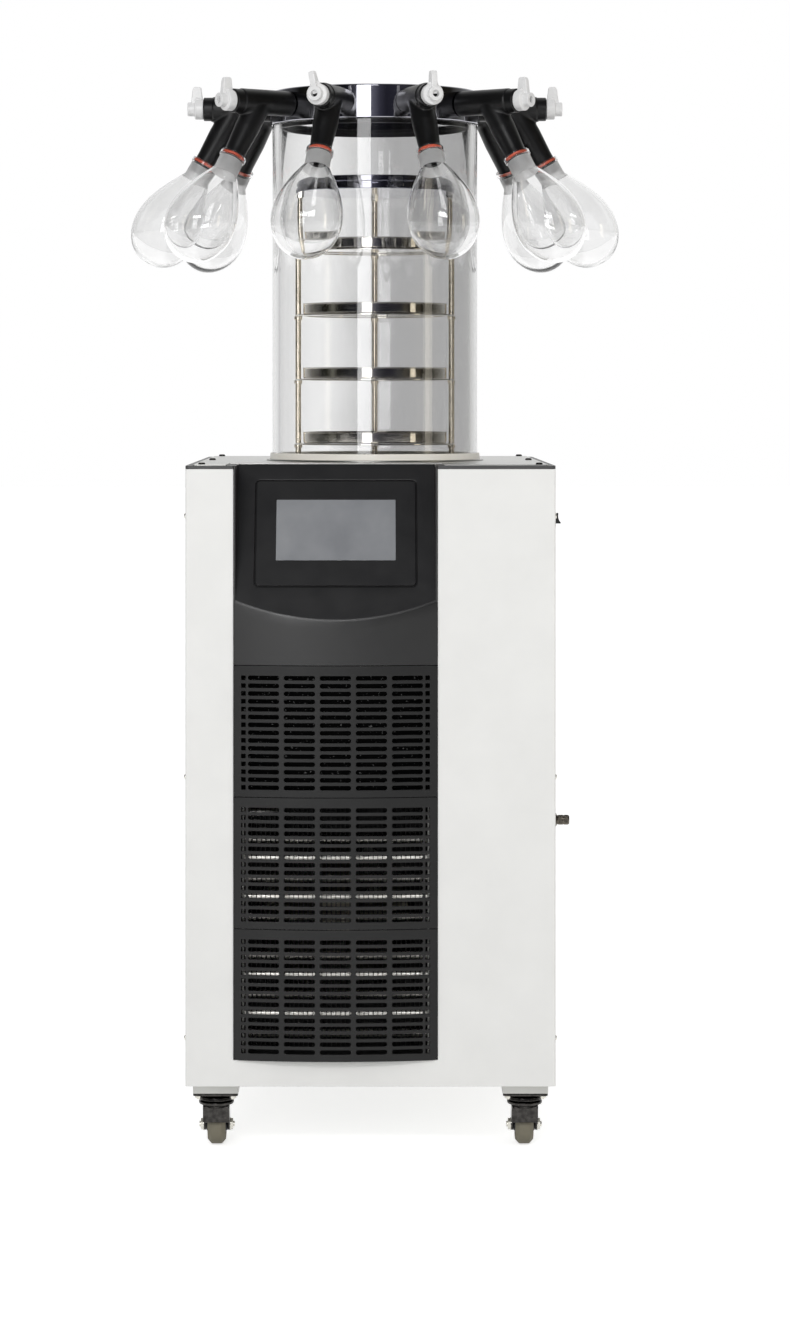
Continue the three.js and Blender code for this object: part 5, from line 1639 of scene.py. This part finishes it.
# Colour that metal and clear parts see around them, by azimuth in degrees; the front is 0, the right plus.
SURROUNDINGS = [
    (-180, 0xFFFFFF), (-150, 0xE4E4E4), (-138, 0xB8B8B8), (-120, 0x707070), (-100, 0x484848), (-92, 0x1C1C1A),
    (-80, 0x26261F), (-69, 0x74746E), (-60, 0x161612), (-50, 0x18181A), (-41, 0x2A2A2E), (-32, 0x1E1E24),
    (-24, 0x4C4C54), (-2, 0x7C7C88), (5, 0x4C4C58), (12, 0x30303A), (24, 0x3A3A44), (34, 0x46464C), (42, 0x38383A),
    (47, 0x58544C), (52, 0x403C34), (74, 0x625C50), (80, 0x28261F), (92, 0x2E2C28), (106, 0x70706C), (124, 0xA8A8A4),
    (140, 0xDCDCDA), (158, 0xFFFFFF), (180, 0xFFFFFF),
]
AMBIENT = 0.56
WHITE = (1, 1, 1, 1)


def world():
    """White for the camera, a studio for mirrored and transmitted rays, and an even light for all others."""
    made = bpy.data.worlds.new("studio")
    bpy.context.scene.world = made
    made.use_nodes = True
    graph = Graph(made.node_tree)
    graph.nodes.clear()
    direction = graph.node("TexCoord").outputs["Generated"]
    axes = graph.node("SeparateXYZ", {0: direction}).outputs
    backwards = graph.node("Math", {0: axes["Y"], 1: -1}, operation="MULTIPLY").outputs[0]
    azimuth = graph.node("Math", {0: axes["X"], 1: backwards}, operation="ARCTAN2").outputs[0]
    share = graph.map_range(azimuth, (-math.pi, math.pi))
    room = graph.ramp(share, [((degrees + 180) / 360, code) for degrees, code in SURROUNDINGS])
    studio = graph.node("Background", {"Color": room}).outputs[0]
    even = graph.node("Background", {"Color": WHITE, "Strength": AMBIENT}).outputs[0]
    white = graph.node("Background", {"Color": WHITE}).outputs[0]
    ray = graph.node("LightPath").outputs
    rays = {0: ray["Is Glossy Ray"], 1: ray["Is Transmission Ray"]}
    mirrored = graph.node("Math", rays, operation="MAXIMUM").outputs[0]
    unseen = graph.node("MixShader", {"Fac": mirrored, 1: even, 2: studio}).outputs[0]
    light = graph.node("MixShader", {"Fac": ray["Is Camera Ray"], 1: unseen, 2: white}).outputs[0]
    graph.node("OutputWorld", {"Surface": light})


def softbox(name, azimuth, distance, height, size, watts, colour=(1, 1, 1)):
    """Area lamp that faces the object's axis, in metres; a low one stays level."""
    lamp = bpy.data.lights.new(name, "AREA")
    lamp.shape = "RECTANGLE"
    lamp.size, lamp.size_y = size
    lamp.energy = watts
    lamp.color = colour
    holder = bpy.data.objects.new(name, lamp)
    angle = math.radians(azimuth)
    holder.location = (distance * math.sin(angle), -distance * math.cos(angle), height)
    aim = Vector((0, 0, AIM_HEIGHT)) - holder.location
    if height < 2.4:
        aim.z = 0
    holder.rotation_euler = aim.to_track_quat("-Z", "Y").to_euler()
    holder.visible_camera = False
    bpy.context.scene.collection.objects.link(holder)


def camera():
    """Level camera in front of the machine, with its view shifted down."""
    lens = bpy.data.cameras.new("camera")
    lens.lens = 89.2
    lens.sensor_width = 36
    lens.shift_x = 0.0184
    lens.shift_y = -0.2035
    holder = bpy.data.objects.new("camera", lens)
    holder.location = (-0.006, -4.522, 0.9705)
    holder.rotation_euler = (math.radians(90), 0, 0)
    bpy.context.scene.collection.objects.link(holder)
    bpy.context.scene.camera = holder


camera()
world()
floor()
softbox("front_strip", -12, 4.2, 1.5, (1.1, 1.55), 25)
softbox("right_lamp", 61, 3.2, 1.3, (0.5, 1.6), 6, (1, 0.92, 0.76))
softbox("top_light", -8, 4.4, 2.95, (1.8, 0.5), 46)
bpy.context.scene.view_settings.view_transform = "Standard"

front_panel()
rear_panel()
side_panel("left_side_panel", -1)
side_panel("right_side_panel", 1, right_side_holes())
deck()
base_tray()
castors()
grilles()
fascia()
display()
condenser()
shade_filters()
fan()
compressor()
cold_trap()
chamber()
rack()
trays()
lid()
ports()
power_switch()
drain_nozzle()
power_inlet()
